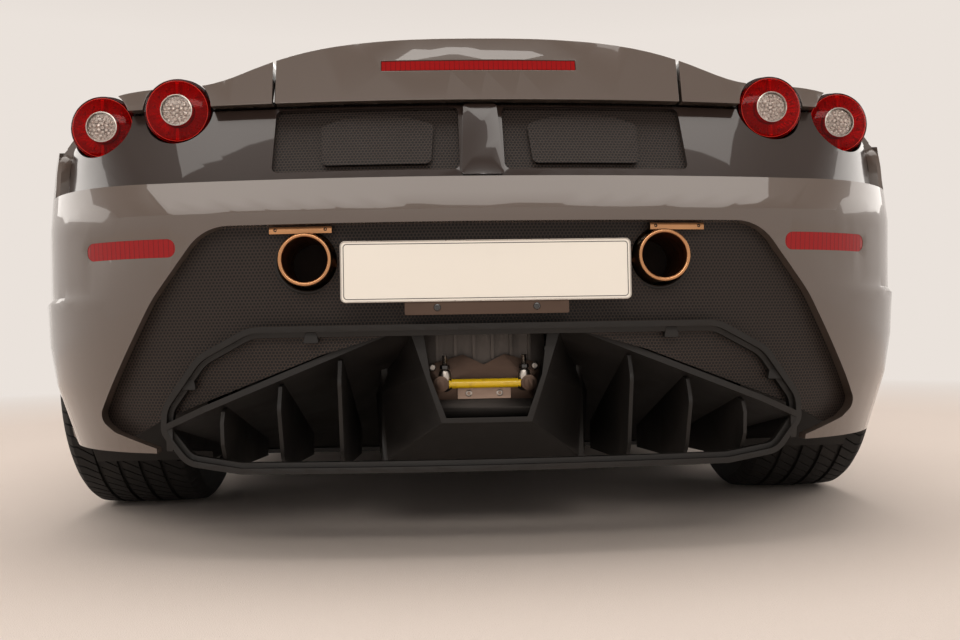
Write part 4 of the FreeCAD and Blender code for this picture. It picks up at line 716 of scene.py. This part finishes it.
def bowl(name, centre):
    """Reflector bowl under the red ring, pressed into narrow flutes, with small domes on and inside it."""
    flutes, rings, inner = 48, 7, 0.0315
    form = bmesh.new()
    grid = []
    for step in range(flutes * 4):
        turn = 2 * math.pi * step / (flutes * 4)
        lift = 0.0011 * (0, 0.7, 1.0, 0.7)[step % 4]
        row = []
        for t in [k / (rings - 1) for k in range(rings)]:
            radius = inner + (LAMP_RADIUS - 0.005 - inner) * t
            row.append(form.verts.new(centre + on_circle("y", radius, turn, -0.024 + 0.01 * t ** 2 + lift)))
        grid.append(row)
    bridge(form, grid + grid[:1], closed=False)
    made(form, name + "_bowl", "bowl_red", angle=180)
    # Rings of small domes, on the red bowl and under the clear middle. Places: a ring's radius, and how many
    for label, radius, depth, places, slot in (
            ("pips", 0.003, -0.018, ((0.047, 14),), "lamp_red"),
            ("bubbles", 0.0044, -0.015, ((0.0, 1), (0.0088, 6), (0.0172, 12), (0.0245, 18)), "lamp_clear")):
        form = bmesh.new()
        for reach, count in places:
            for k in range(count):
                place = centre + on_circle("y", reach, 2 * math.pi * (k + 0.5) / count, depth)
                bmesh.ops.create_uvsphere(form, u_segments=12, v_segments=8, radius=radius,
                                          matrix=Matrix.Translation(place))
        made(form, f"{name}_{label}", "facets", angle=180)


def make_lamps():
    surface = Surface("tail_lamps")
    for (x, z), place in zip(LAMP_PLACES, ("outer", "inner")):
        for side, hand in SIDES:
            lamp(f"lamp_{place}_{hand}", side * x, z, surface.behind(side * x, z).y)
    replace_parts(bpy.data.objects["lamp_inner_left_housing"], "tail_lamps")


# Exhaust tips and plate

def bead(middle, radius, count, shift=0.0):
    """The round section of a rolled edge, for turning."""
    turns = [2 * math.pi * k / count for k in range(count + 1)]
    return [(middle + radius * math.cos(turn), radius * math.sin(turn) - shift) for turn in turns]


def make_pipes():
    """Rolled copper lip, sooted bore and black collar at each tip."""
    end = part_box("exhaust")[1].y
    surface = Surface("rear_mesh")
    lip = 0.0038
    for side, hand in SIDES:
        x = side * PIPE_X
        place = (x, end, PIPE_HEIGHT)
        turned(f"tip_lip_{hand}", bead(PIPE_RADIUS - 0.002, lip, 12, lip * 0.4), place, "copper")
        turned(f"tip_bore_{hand}", [(0.0, -0.15), (0.0415, -0.15), (0.0428, -0.004), (0.0435, 0.0)], place,
               "black_soot_and_shade")
        seat = surface.behind(x + side * (PIPE_RADIUS + 0.016), PIPE_HEIGHT).y
        turned(f"hole_collar_{hand}", bead(PIPE_RADIUS + 0.0105, 0.0035, 10), (x, seat, PIPE_HEIGHT),
               "dark_plastic")


def make_plate():
    """Blank pressed plate in a thin bright frame, on an aluminium bracket with two screws."""
    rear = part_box("number_plate")[1].y

    def corners(inset, radius):
        x, z = PLATE_HALF_WIDTH - inset, PLATE_HALF_HEIGHT - inset
        return box_corners(-x, x, PLATE_CENTRE - z, PLATE_CENTRE + z, radius)

    blank = slabbed("plate_blank", corners(0.0015, 0.009), "y", rear - 0.0042, rear - 0.0012, "plate_white",
                    edge=0.0004)
    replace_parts(blank, "number_plate")
    for label, inset, radius, depth, material in (("frame", 0.0012, 0.0012, 0.0012, "bright_metal"),
                                                  ("rib", 0.0062, 0.0007, 0.0013, "gloss_black")):
        outline = rounded(corners(inset, 0.009 - inset / 2), 8)
        tube(f"plate_{label}", [(u, rear - depth, v) for u, v in outline], radius, material, closed=True,
             order=2)
    slabbed("plate_bracket", box_corners(-0.147, 0.147, 0.446, 0.4725, 0.003), "y", rear - 0.008,
            rear - 0.0045,
            "bracket_metal", 0.0004)
    rounded_head("bracket_screws", [(side * 0.089, rear - 0.0045, 0.459) for side in (-1, 1)], 0.0065, 0.003,
                 "y",
                 "gloss_black")


# Skin drawn on round the lamps' tubes and down to the ends of the tail panel, whose dark colour is painted
# shade

def shoulder(side, hand, height):
    """The quarter's skin between and ahead of the lamps, drawn back from the line where it is whole."""
    first, last, gap = 1.79, 1.974, 0.004
    inner, outer, between_lamps = 0.512, 0.858, 0.673
    lean = 0.15
    lamps_at = [(x, z, TAIL - ahead - 0.075) for (x, z), ahead in zip(LAMP_PLACES, (0.258, 0.196))]
    form = bmesh.new()
    grid = {}
    for i in range(round((last - first) / gap) + 1):
        y = first + gap * i
        shift = lean * (y - first)
        drop = height(side * between_lamps, y) - height(side * (between_lamps + shift), first)
        for j in range(round((outer - inner) / gap) + 1):
            x = inner + gap * j
            level = height(side * min(x + shift, 0.878), first)
            if level is None:
                continue
            level += drop
            real = height(side * x, y)
            if real is not None and abs(real - level) < 0.02:
                level = real
            in_lamp = any(math.hypot(x - at_x, level - at_z) < 0.0675 and y > start for at_x, at_z,
                          start in lamps_at)
            past_corner = y > 1.9 and (x > 0.848 or y > 1.94 and x > 0.826)
            if level > 0.788 and not in_lamp and not past_corner and (x < 0.8525 or y < 1.8):
                grid[i, j] = form.verts.new((side * x, y, level - 0.0007))
    for i, j in list(grid):
        ring = [grid.get(key) for key in ((i, j), (i + 1, j), (i + 1, j + 1), (i, j + 1))]
        if all(ring) and max(vert.co.z for vert in ring) - min(vert.co.z for vert in ring) < 0.02:
            form.faces.new(ring)
    bmesh.ops.delete(form, geom=[vert for vert in form.verts if not vert.link_faces], context="VERTS")
    bmesh.ops.recalc_face_normals(form, faces=form.faces)
    if sum(face.normal.z for face in form.faces) < 0:
        bmesh.ops.reverse_faces(form, faces=form.faces)
    walled(made(form, f"shoulder_{hand}", "paint", angle=60, outward=False), 0.003)


def corner(side, hand):
    """A painted return beside the outer end of the tail panel, whose dark colour is painted shade, and a cap
    in the corner above it.
    """
    form = bmesh.new()
    levels = ((0.7025, 1.978), (0.72, 1.9752), (0.75, 1.971), (0.7745, 1.9635), (0.785, 1.956),
              (0.796, 1.937))
    section = ((0.8524, 0.0), (0.844, -0.0015), (0.831, 0.011), (0.8524, 0.075))
    rings = [[form.verts.new((side * x, y - back, z)) for x, back in section] for z, y in levels]
    bridge(form, rings, capped=True)
    made(form, f"corner_return_{hand}", "paint", angle=50)
    cap = ((0.8518, 0.77), (0.8518, 0.797), (0.845, 0.8045), (0.836, 0.815), (0.826, 0.828), (0.815, 0.812),
           (0.826, 0.795), (0.838, 0.775))
    slabbed(f"corner_cap_{hand}", [(side * x, z) for x, z in cap], "y", 1.905, 1.938, "paint")


def make_shoulders():
    skin = Surface("rear_quarters")

    def height(x, y):
        hit, normal = skin.meet("z", 1, x, y)
        return hit.z if hit is not None else None

    for side, hand in SIDES:
        shoulder(side, hand, height)
        corner(side, hand)


# Behind the bucket and round the mesh: joints, bolts, hose, shields and clips

def make_linkage():
    """Ball joints with their studs, nuts and boots at the ends of the tie bar, bolts, a clamp and a hose."""
    low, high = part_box("tie_bracket")
    for side, hand in SIDES:
        boot = Vector((side * 0.076, high.y - 0.018, 0.317))
        ball = boot + Vector((0, 0, 0.014))
        turned(f"joint_{hand}", [(0.0, 0.014), (0.006, 0.0135), (0.0105, 0.01), (0.012, 0.004),
                                 (0.0125, -0.004),
                                 (0.01, -0.012), (0.0, -0.013)], ball, "bright_metal", steps=32, axis="z")
        thread = [(0.005 - 0.0008 * (k % 2), 0.038 - 0.0012 * k) for k in range(22)]
        turned(f"stud_{hand}", [(0.0, 0.04), (0.0042, 0.04)] + thread + [(0.0, 0.011)], ball, "bright_metal",
               steps=20, axis="z")
        turned(f"nut_{hand}", [(0.0, 0.022), (0.0088, 0.022), (0.0095, 0.0205), (0.0095, 0.0155),
                               (0.0088, 0.014),
                               (0.0, 0.014)], ball, "gloss_black", steps=6, axis="z",
                               angle=20)
        turned(f"boot_{hand}", [(0.0125, 0.01), (0.015, 0.006), (0.0135, 0.002), (0.0158, -0.002),
                                (0.0135, -0.006), (0.015, -0.01), (0.0115, -0.013)], boot, "black_soot_and_shade",
                                steps=32)
    plate = low.y + 0.006
    places = [(x, plate, z) for x, z in ((-0.03, 0.297), (0.03, 0.297), (-0.1, 0.348), (0.1, 0.348))]
    rounded_head("bracket_bolts", places, 0.0075, 0.005, "y", "bright_metal")
    slabbed("lower_clamp", box_corners(-0.052, 0.052, 0.286, 0.308, 0.002), "y", plate, plate + 0.004,
            "clamp_metal",
            0.0006)
    hose = ((0.118, -0.006, 0.372), (0.118, 0.004, 0.362), (0.113, 0.011, 0.33), (0.106, 0.012, 0.3),
            (0.098, 0.006, 0.285), (0.092, -0.01, 0.28))
    tube("hose", [(x, plate + out, z) for x, out, z in hose], 0.0035, "black_soot_and_shade")


def make_heat_strips():
    """Bright shields hung from the mesh above the tips, and clips on the diffuser's rim."""
    surface = Surface("rear_mesh")
    section = ((0.003, 0.0005), (0.0135, -0.001), (0.015, -0.0065), (0.0142, -0.0135), (0.012, -0.0135),
               (0.0128, -0.0075), (0.0117, -0.003), (0.003, -0.0015))
    for (side, hand), reach in zip(SIDES, ((0.275, 0.388), (0.3, 0.402))):
        ends = [surface.behind(side * x, 0.609) for x in reach]
        form = bmesh.new()
        rows = [[form.verts.new(end + Vector((0, out, up))) for out, up in section] for end in ends]
        bridge(form, rows, capped=True)
        soften(made(form, f"heat_strip_{hand}", "copper"), 0.0004)
        heads = [ends[0].lerp(ends[1], t) + Vector((0, 0.0143, -0.0065)) for t in (0.1, 0.9)]
        rounded_head(f"strip_rivets_{hand}", heads, 0.0032, 0.0012, "y", "black_soot_and_shade")
    rim = Surface("diffuser")
    for k, (x, z) in enumerate(((0.318, 0.413), (-0.342, 0.413), (0.548, 0.331), (-0.548, 0.331))):
        seat = rim.behind(x, z).y
        slabbed(f"rim_clip_{k}", box_corners(x - 0.014, x + 0.014, z - 0.014, z + 0.006, 0.003, -0.004), "y",
                seat - 0.012, seat + 0.002, "dark_plastic", edge=0.001)


# Seats, upholstered in sewn leather over a hard shell

PAD_SHARE = 0.3


def settle(obj):
    """Keep what the modifiers make, and drop the modifiers."""
    graph = bpy.context.evaluated_depsgraph_get()
    mesh = bpy.data.meshes.new_from_object(obj.evaluated_get(graph), depsgraph=graph)
    obj.modifiers.clear()
    obj.data = mesh


def stuffed(name, section, low, high, cap, cell=0.0055, edge=0.016):
    """A pad: its outline swollen by cloth simulation, with no point moved further than the cap."""
    obj = slabbed(name, section, "x", low, high, "hide", edge)
    cells = obj.modifiers.new("cells", "REMESH")
    cells.mode = "VOXEL"
    cells.voxel_size = cell
    settle(obj)
    before = [vert.co.copy() for vert in obj.data.vertices]
    cloth = obj.modifiers.new("swell", "CLOTH")
    cloth.settings.use_pressure = True
    cloth.settings.uniform_pressure_force = 4.0
    cloth.settings.effector_weights.gravity = 0.0
    for number in range(1, 21):
        bpy.context.scene.frame_set(number)
    settle(obj)
    bpy.context.scene.frame_set(1)
    for vert, start in zip(obj.data.vertices, before):
        move = vert.co - start
        if move.length > cap:
            vert.co = start + move * (cap / move.length)
    finer = obj.modifiers.new("finer", "SUBSURF")
    finer.levels = finer.render_levels = 1
    settle(obj)
    obj.data.shade_smooth()
    return obj


def sew(obj, along, facing):
    """Channels sewn across a pad's face, and a seam inside its two long edges."""
    pitch, depth, half_width, margin = 0.058, 0.0042, 0.0052, 0.118
    normals = [vert.normal.copy() for vert in obj.data.vertices]
    for vert, normal in zip(obj.data.vertices, normals):
        if normal.dot(facing) > 0.5:
            place = vert.co.dot(along) / pitch % 1.0
            gap = min(place, 1.0 - place) * pitch
            inside = abs(vert.co.x - SEAT_X)
            pull = max(math.exp(-(gap / half_width) ** 2) if inside < margin else 0.0,
                       math.exp(-(abs(inside - margin) / half_width) ** 2))
            vert.co -= normal * depth * pull


def make_seats():
    """Two bucket seats. The left one is made, and the right one is the same, set across."""
    low, high = SEAT_X - 0.152, SEAT_X + 0.152
    pads = [stuffed("cushion_left", [(-0.312, 0.332, 0.03), (-0.223, 0.318, 0.2), (0.142, 0.402, 0.04),
                                     (0.16, 0.352, 0.02), (-0.285, 0.262, 0.03)], low, high, 0.009),
            stuffed("back_left", [(0.176, 0.446, 0.03), (0.293, 0.782, 0.03), (0.352, 0.772, 0.03),
                                  (0.302, 0.545, 0.1), (0.214, 0.408, 0.02)], low, high, 0.009),
            stuffed("head_rest_left", [(0.306, 0.798, 0.03), (0.329, 0.88, 0.03), (0.37, 0.876, 0.02),
                                       (0.356, 0.792, 0.02)], SEAT_X - 0.118, SEAT_X + 0.118, 0.007)]
    sew(pads[0], Vector((0, 1, 0.2)), Vector((0, -0.22, 0.97)))
    sew(pads[1], Vector((0, 0.33, 0.94)), Vector((0, -0.94, 0.33)))
    bolster = [(-0.276, 0.345, 0.03), (-0.203, 0.378, 0.06), (0.082, 0.45, 0.09), (0.278, 0.724, 0.04),
               (0.348, 0.735, 0.04), (0.328, 0.56, 0.15), (0.178, 0.3, 0.09), (-0.2, 0.262, 0.05)]
    for name, at in (("inner", -0.243), ("outer", 0.168)):
        pads.append(stuffed(f"bolster_{name}_left", bolster, SEAT_X + at, SEAT_X + at + 0.075, 0.006, 0.006,
                            0.024))
    # Fewer triangles in the same form, fewest where it is flattest
    for pad in pads:
        fewer = pad.modifiers.new("fewer", "DECIMATE")
        fewer.ratio = PAD_SHARE
        settle(pad)
        pad.data.shade_smooth()
    shell = [(-0.272, 0.182, 0.02), (0.158, 0.182, 0.05), (0.33, 0.56, 0.15), (0.3795, 0.876, 0.02),
             (0.36, 0.884, 0.01), (0.312, 0.56, 0.15), (0.15, 0.29, 0.1), (-0.262, 0.25, 0.03)]
    others = [slabbed("seat_shell_left", shell, "x", SEAT_X - 0.185, SEAT_X + 0.185, "carbon",
                      0.004)]
    for name, at in (("in", SEAT_X - 0.13), ("out", SEAT_X + 0.13)):
        others.append(slabbed(f"seat_rail_left_{name}", box_corners(-0.25, 0.15, 0.177, 0.19, 0.004), "x",
                              at - 0.014, at + 0.014, "bright_metal", 0.001))
    for piece in pads + others:
        mesh = piece.data.copy()
        mesh.transform(Matrix.Translation((-2 * SEAT_X, 0, 0)))
        twin = link(piece.name.replace("left", "right"), mesh, None)
        if "edges" in piece.modifiers:
            soften(twin, piece.modifiers["edges"].width)
    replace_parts(others[0], "seats")


# Glass seals, handles, wiper, mirrors and head lamps

def make_seals():
    up, left = Vector((0, 0, 1)), Vector((1, 0, 0))
    for node, outward in (("windscreen", up), ("engine_lid_glass", up), ("door_glass_left", left),
                          ("door_glass_right", -left), ("headlamps", up)):
        tube(f"{node}_seal", rim_line(node, outward), 0.0019, "black_soot_and_shade", BODY_OF[node], closed=True)


def make_door_fittings():
    handle = [(0.215, 0.722, 0.011), (0.345, 0.728, 0.011), (0.345, 0.75, 0.011), (0.215, 0.744, 0.011)]
    recess = [(0.205, 0.712, 0.018), (0.356, 0.718, 0.018), (0.356, 0.76, 0.018), (0.205, 0.754, 0.018)]
    pane = [(0.915, 0.842, 0.018), (1.018, 0.846, 0.02), (1.018, 0.917, 0.02), (0.915, 0.917, 0.018)]
    for side, hand in SIDES:
        body = f"door_{hand}"
        door = Surface(body)
        # The handle recess is a thin near-black sheet laid on the door in place of a recess: painted shade
        laid(f"handle_recess_{hand}", recess, "x", side, door, 0.0003, 0.001, "black_soot_and_shade", body)
        soften(laid(f"handle_{hand}", handle, "x", side, door, 0.0042, 0.004, "paint", body), 0.0012)
        laid(f"mirror_glass_{hand}", [(side * u, v, radius) for u, v, radius in pane], "y", 1,
             Surface(f"mirror_{hand}"), 0.0006, 0.001, "mirror_face", body)


def make_wiper():
    """One long arm from below the windscreen, with its blade lying along the glass."""
    glass_top = Surface("windscreen", "front_wings", "front_lid")
    steps = (0, 0.2, 0.4, 0.6, 0.8, 1.0)

    def on_glass(x, y, rise):
        hit, normal = glass_top.meet("z", 1, x, y)
        return hit + normal * rise

    arm = [on_glass(0.06 + 0.28 * t, -0.77 + 0.075 * t + 0.02 * math.sin(math.pi * t),
                    0.01 + 0.012 * (1 - t) ** 2)
           for t in steps]
    tube("wiper_arm", arm, 0.0045, "gloss_black")
    tube("wiper_blade", [on_glass(0.13 + 0.36 * t, -0.758 + 0.12 * t ** 1.3, 0.0045) for t in steps], 0.003,
         "black_soot_and_shade")
    turned("wiper_pivot", [(0.0, 0.02), (0.008, 0.019), (0.012, 0.014), (0.013, 0.0)],
           on_glass(0.06, -0.77, 0.0),
           "gloss_black", steps=32, axis="z")


def make_headlamps():
    """Clear covers over dark basins, with two projectors and a light strip in each."""
    slope = 0.12
    for label, up, material, offset in (("cover", True, "screen", -1), ("basin", False, "gloss_black", 1)):
        form = welded("headlamps")
        doomed = [face for face in form.faces if (face.normal.z > slope) != up]
        bmesh.ops.delete(form, geom=doomed, context="FACES")
        walled(made(form, f"headlamp_{label}", material, outward=False), 0.0025, offset)
    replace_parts(bpy.data.objects["headlamp_cover"], "headlamps")
    top = Surface("headlamps")
    for side, hand in SIDES:
        for k, (x, y, radius) in enumerate(((0.668, -1.935, 0.036), (0.75, -1.8, 0.033))):
            hit, normal = top.meet("z", 1, side * x, y)
            turn = Vector((0, 0, 1)).rotation_difference(normal).to_matrix().to_4x4()
            place = Matrix.Translation(hit - normal * 0.024) @ turn
            dish = [(0.0, 0.001), (radius * 0.55, 0.003), (radius, 0.012), (radius + 0.004, 0.0135),
                    (radius + 0.004, 0.002)]
            eye = [(radius * share, along) for share, along in (
                (0.0, 0.015), (0.3, 0.0142), (0.5, 0.0115), (0.62, 0.006), (0.62, 0.002))]
            for label, profile, material in (("bowl", dish, "bright_metal"), ("eye", eye, "screen")):
                piece = turned(f"headlamp_{label}_{hand}_{k}", profile, (0, 0, 0), material,
                               steps=40,
                               axis="z")
                piece.data.transform(place)
        strip = []
        for t in (0, 0.25, 0.5, 0.75, 1.0):
            hit, normal = top.meet("z", 1, side * (0.628 + 0.165 * t), -1.99 + 0.26 * t + 0.03 * t * (1 - t))
            strip.append(hit - normal * 0.008)
        tube(f"headlamp_strip_{hand}", strip, 0.0028, "facets")


# Stage, light and camera

FLOOR_COLOUR = (226, 212, 202)
SURROUNDINGS = linear(234, 226, 219)
# Lamp: place, target, width, depth, power
LIGHTS = {
    "ceiling": ((0.0, 1.6, 4.2), (0.0, 1.6, 0.0), 5.0, 3.2, 92),
    "nose_light": ((0.0, -4.5, 3.6), (0.0, -1.2, 0.4), 5.0, 2.0, 60),
    "tail_light": ((0.6, 6.2, 2.9), (0.0, 2.0, 0.5), 4.5, 0.9, 58),
    "left_light": ((5.0, 0.2, 2.6), (0.6, 0.0, 0.5), 5.5, 1.6, 42),
    "right_light": ((-5.0, 0.2, 2.6), (-0.6, 0.0, 0.5), 5.5, 1.6, 42),
}
IMAGE_WIDTH = 960
FOCAL_PIXELS = 950
CAMERA_PLACE = Vector((0.096, 3.927, 0.4))
CAMERA_TURN = math.radians(2.8)
CAMERA_TILT = math.radians(1.2)
CAMERA_ROLL = math.radians(1.0)


def blended(tree, factor, first, second, output):
    """End a tree in a blend of two shaders."""
    mix = tree.nodes.new("ShaderNodeMixShader")
    for socket, value in zip(mix.inputs, (factor, first, second)):
        tree.links.new(value, socket)
    tree.links.new(mix.outputs[0], tree.nodes[output].inputs["Surface"])


def make_stage():
    """Pale floor with a fine short pile, which fades into the pale surroundings far from the car."""
    bpy.ops.mesh.primitive_plane_add(size=80.0)
    floor = bpy.context.active_object
    floor.name = "floor"
    finish = Finish("floor", FLOOR_COLOUR, 0.95)
    finish.tint(finish.noise(240, 3.0), (206, 190, 179), 0.4)
    finish.tint(finish.noise(1.4, 3.0), (214, 200, 190), 0.5)
    finish.bump(finish.noise(500, 2.0), 0.002, 0.5)
    squares = [finish.math("MULTIPLY", place, place) for axis, place in finish.axes().items() if axis != "z"]
    far = finish.between(finish.math("SQRT", finish.math("ADD", *squares)), 2.4, 5.6)
    plain = finish.node("Emission", Color=SURROUNDINGS)
    blended(finish.tree, far, finish.shader.outputs[0], plain.outputs[0], "Material Output")
    floor.data.materials.append(finish.material)


def make_world():
    """Pale surroundings: as bright as they are written where they are seen, mirrored or looked through."""
    world = bpy.data.worlds.new("studio")
    world.use_nodes = True
    nodes, links = world.node_tree.nodes, world.node_tree.links
    shown = nodes["Background"]
    split = nodes.new("ShaderNodeSeparateXYZ")
    links.new(nodes.new("ShaderNodeTexCoord").outputs["Generated"], split.inputs[0])
    ramp = nodes.new("ShaderNodeValToRGB")
    for element, position, colour in zip(ramp.color_ramp.elements, (0.3, 0.85),
                                         (SURROUNDINGS, linear(126, 112, 104))):
        element.position = position
        element.color = colour
    links.new(split.outputs[2], ramp.inputs[0])
    links.new(ramp.outputs[0], shown.inputs["Color"])
    lit = nodes.new("ShaderNodeBackground")
    lit.inputs["Color"].default_value = (1.0, 0.96, 0.92, 1)
    lit.inputs["Strength"].default_value = 0.62
    path = nodes.new("ShaderNodeLightPath")
    seen = path.outputs["Is Camera Ray"]
    for ray in ("Is Glossy Ray", "Is Transmission Ray"):
        either = nodes.new("ShaderNodeMath")
        either.operation = "MAXIMUM"
        links.new(seen, either.inputs[0])
        links.new(path.outputs[ray], either.inputs[1])
        seen = either.outputs[0]
    blended(world.node_tree, seen, lit.outputs[0], shown.outputs[0], "World Output")
    bpy.context.scene.world = world


def make_lights():
    for name, (place, target, width, depth, power) in LIGHTS.items():
        data = bpy.data.lights.new(name, "AREA")
        data.shape = "RECTANGLE"
        data.size, data.size_y = width, depth
        data.energy = power
        data.color = (1.0, 0.96, 0.91)
        light = bpy.data.objects.new(name, data)
        bpy.context.scene.collection.objects.link(light)
        light.location = place
        light.rotation_euler = (Vector(target) - Vector(place)).to_track_quat("-Z", "Y").to_euler()


def make_camera():
    """Low behind the tail, looking at the nose, as the photograph was taken."""
    def swung(first, second, angle):
        """Two directions turned together, the first towards the second."""
        return (first * math.cos(angle) + second * math.sin(angle),
                second * math.cos(angle) - first * math.sin(angle))

    right, ahead, up = Vector((-1, 0, 0)), Vector((0, -1, 0)), Vector((0, 0, 1))
    ahead, right = swung(ahead, right, CAMERA_TURN)
    ahead, up = swung(ahead, up, CAMERA_TILT)
    up, right = swung(up, right, CAMERA_ROLL)
    data = bpy.data.cameras.new("camera")
    data.sensor_width = 36
    data.lens = FOCAL_PIXELS / IMAGE_WIDTH * data.sensor_width
    camera = bpy.data.objects.new("camera", data)
    bpy.context.scene.collection.objects.link(camera)
    camera.matrix_world = Matrix.Translation(CAMERA_PLACE) @ Matrix((right, up, -ahead)).transposed().to_4x4()
    bpy.context.scene.camera = camera


for make in (make_materials, dress_nodes, make_wheels, make_lamps, make_pipes, make_plate, make_shoulders,
             make_linkage, make_heat_strips, make_seats, make_seals, make_door_fittings, make_wiper,
             make_headlamps,
             make_stage, make_world, make_lights, make_camera):
    make()
bpy.context.scene.view_settings.view_transform = "Standard"

bpy.context.view_layer.update()
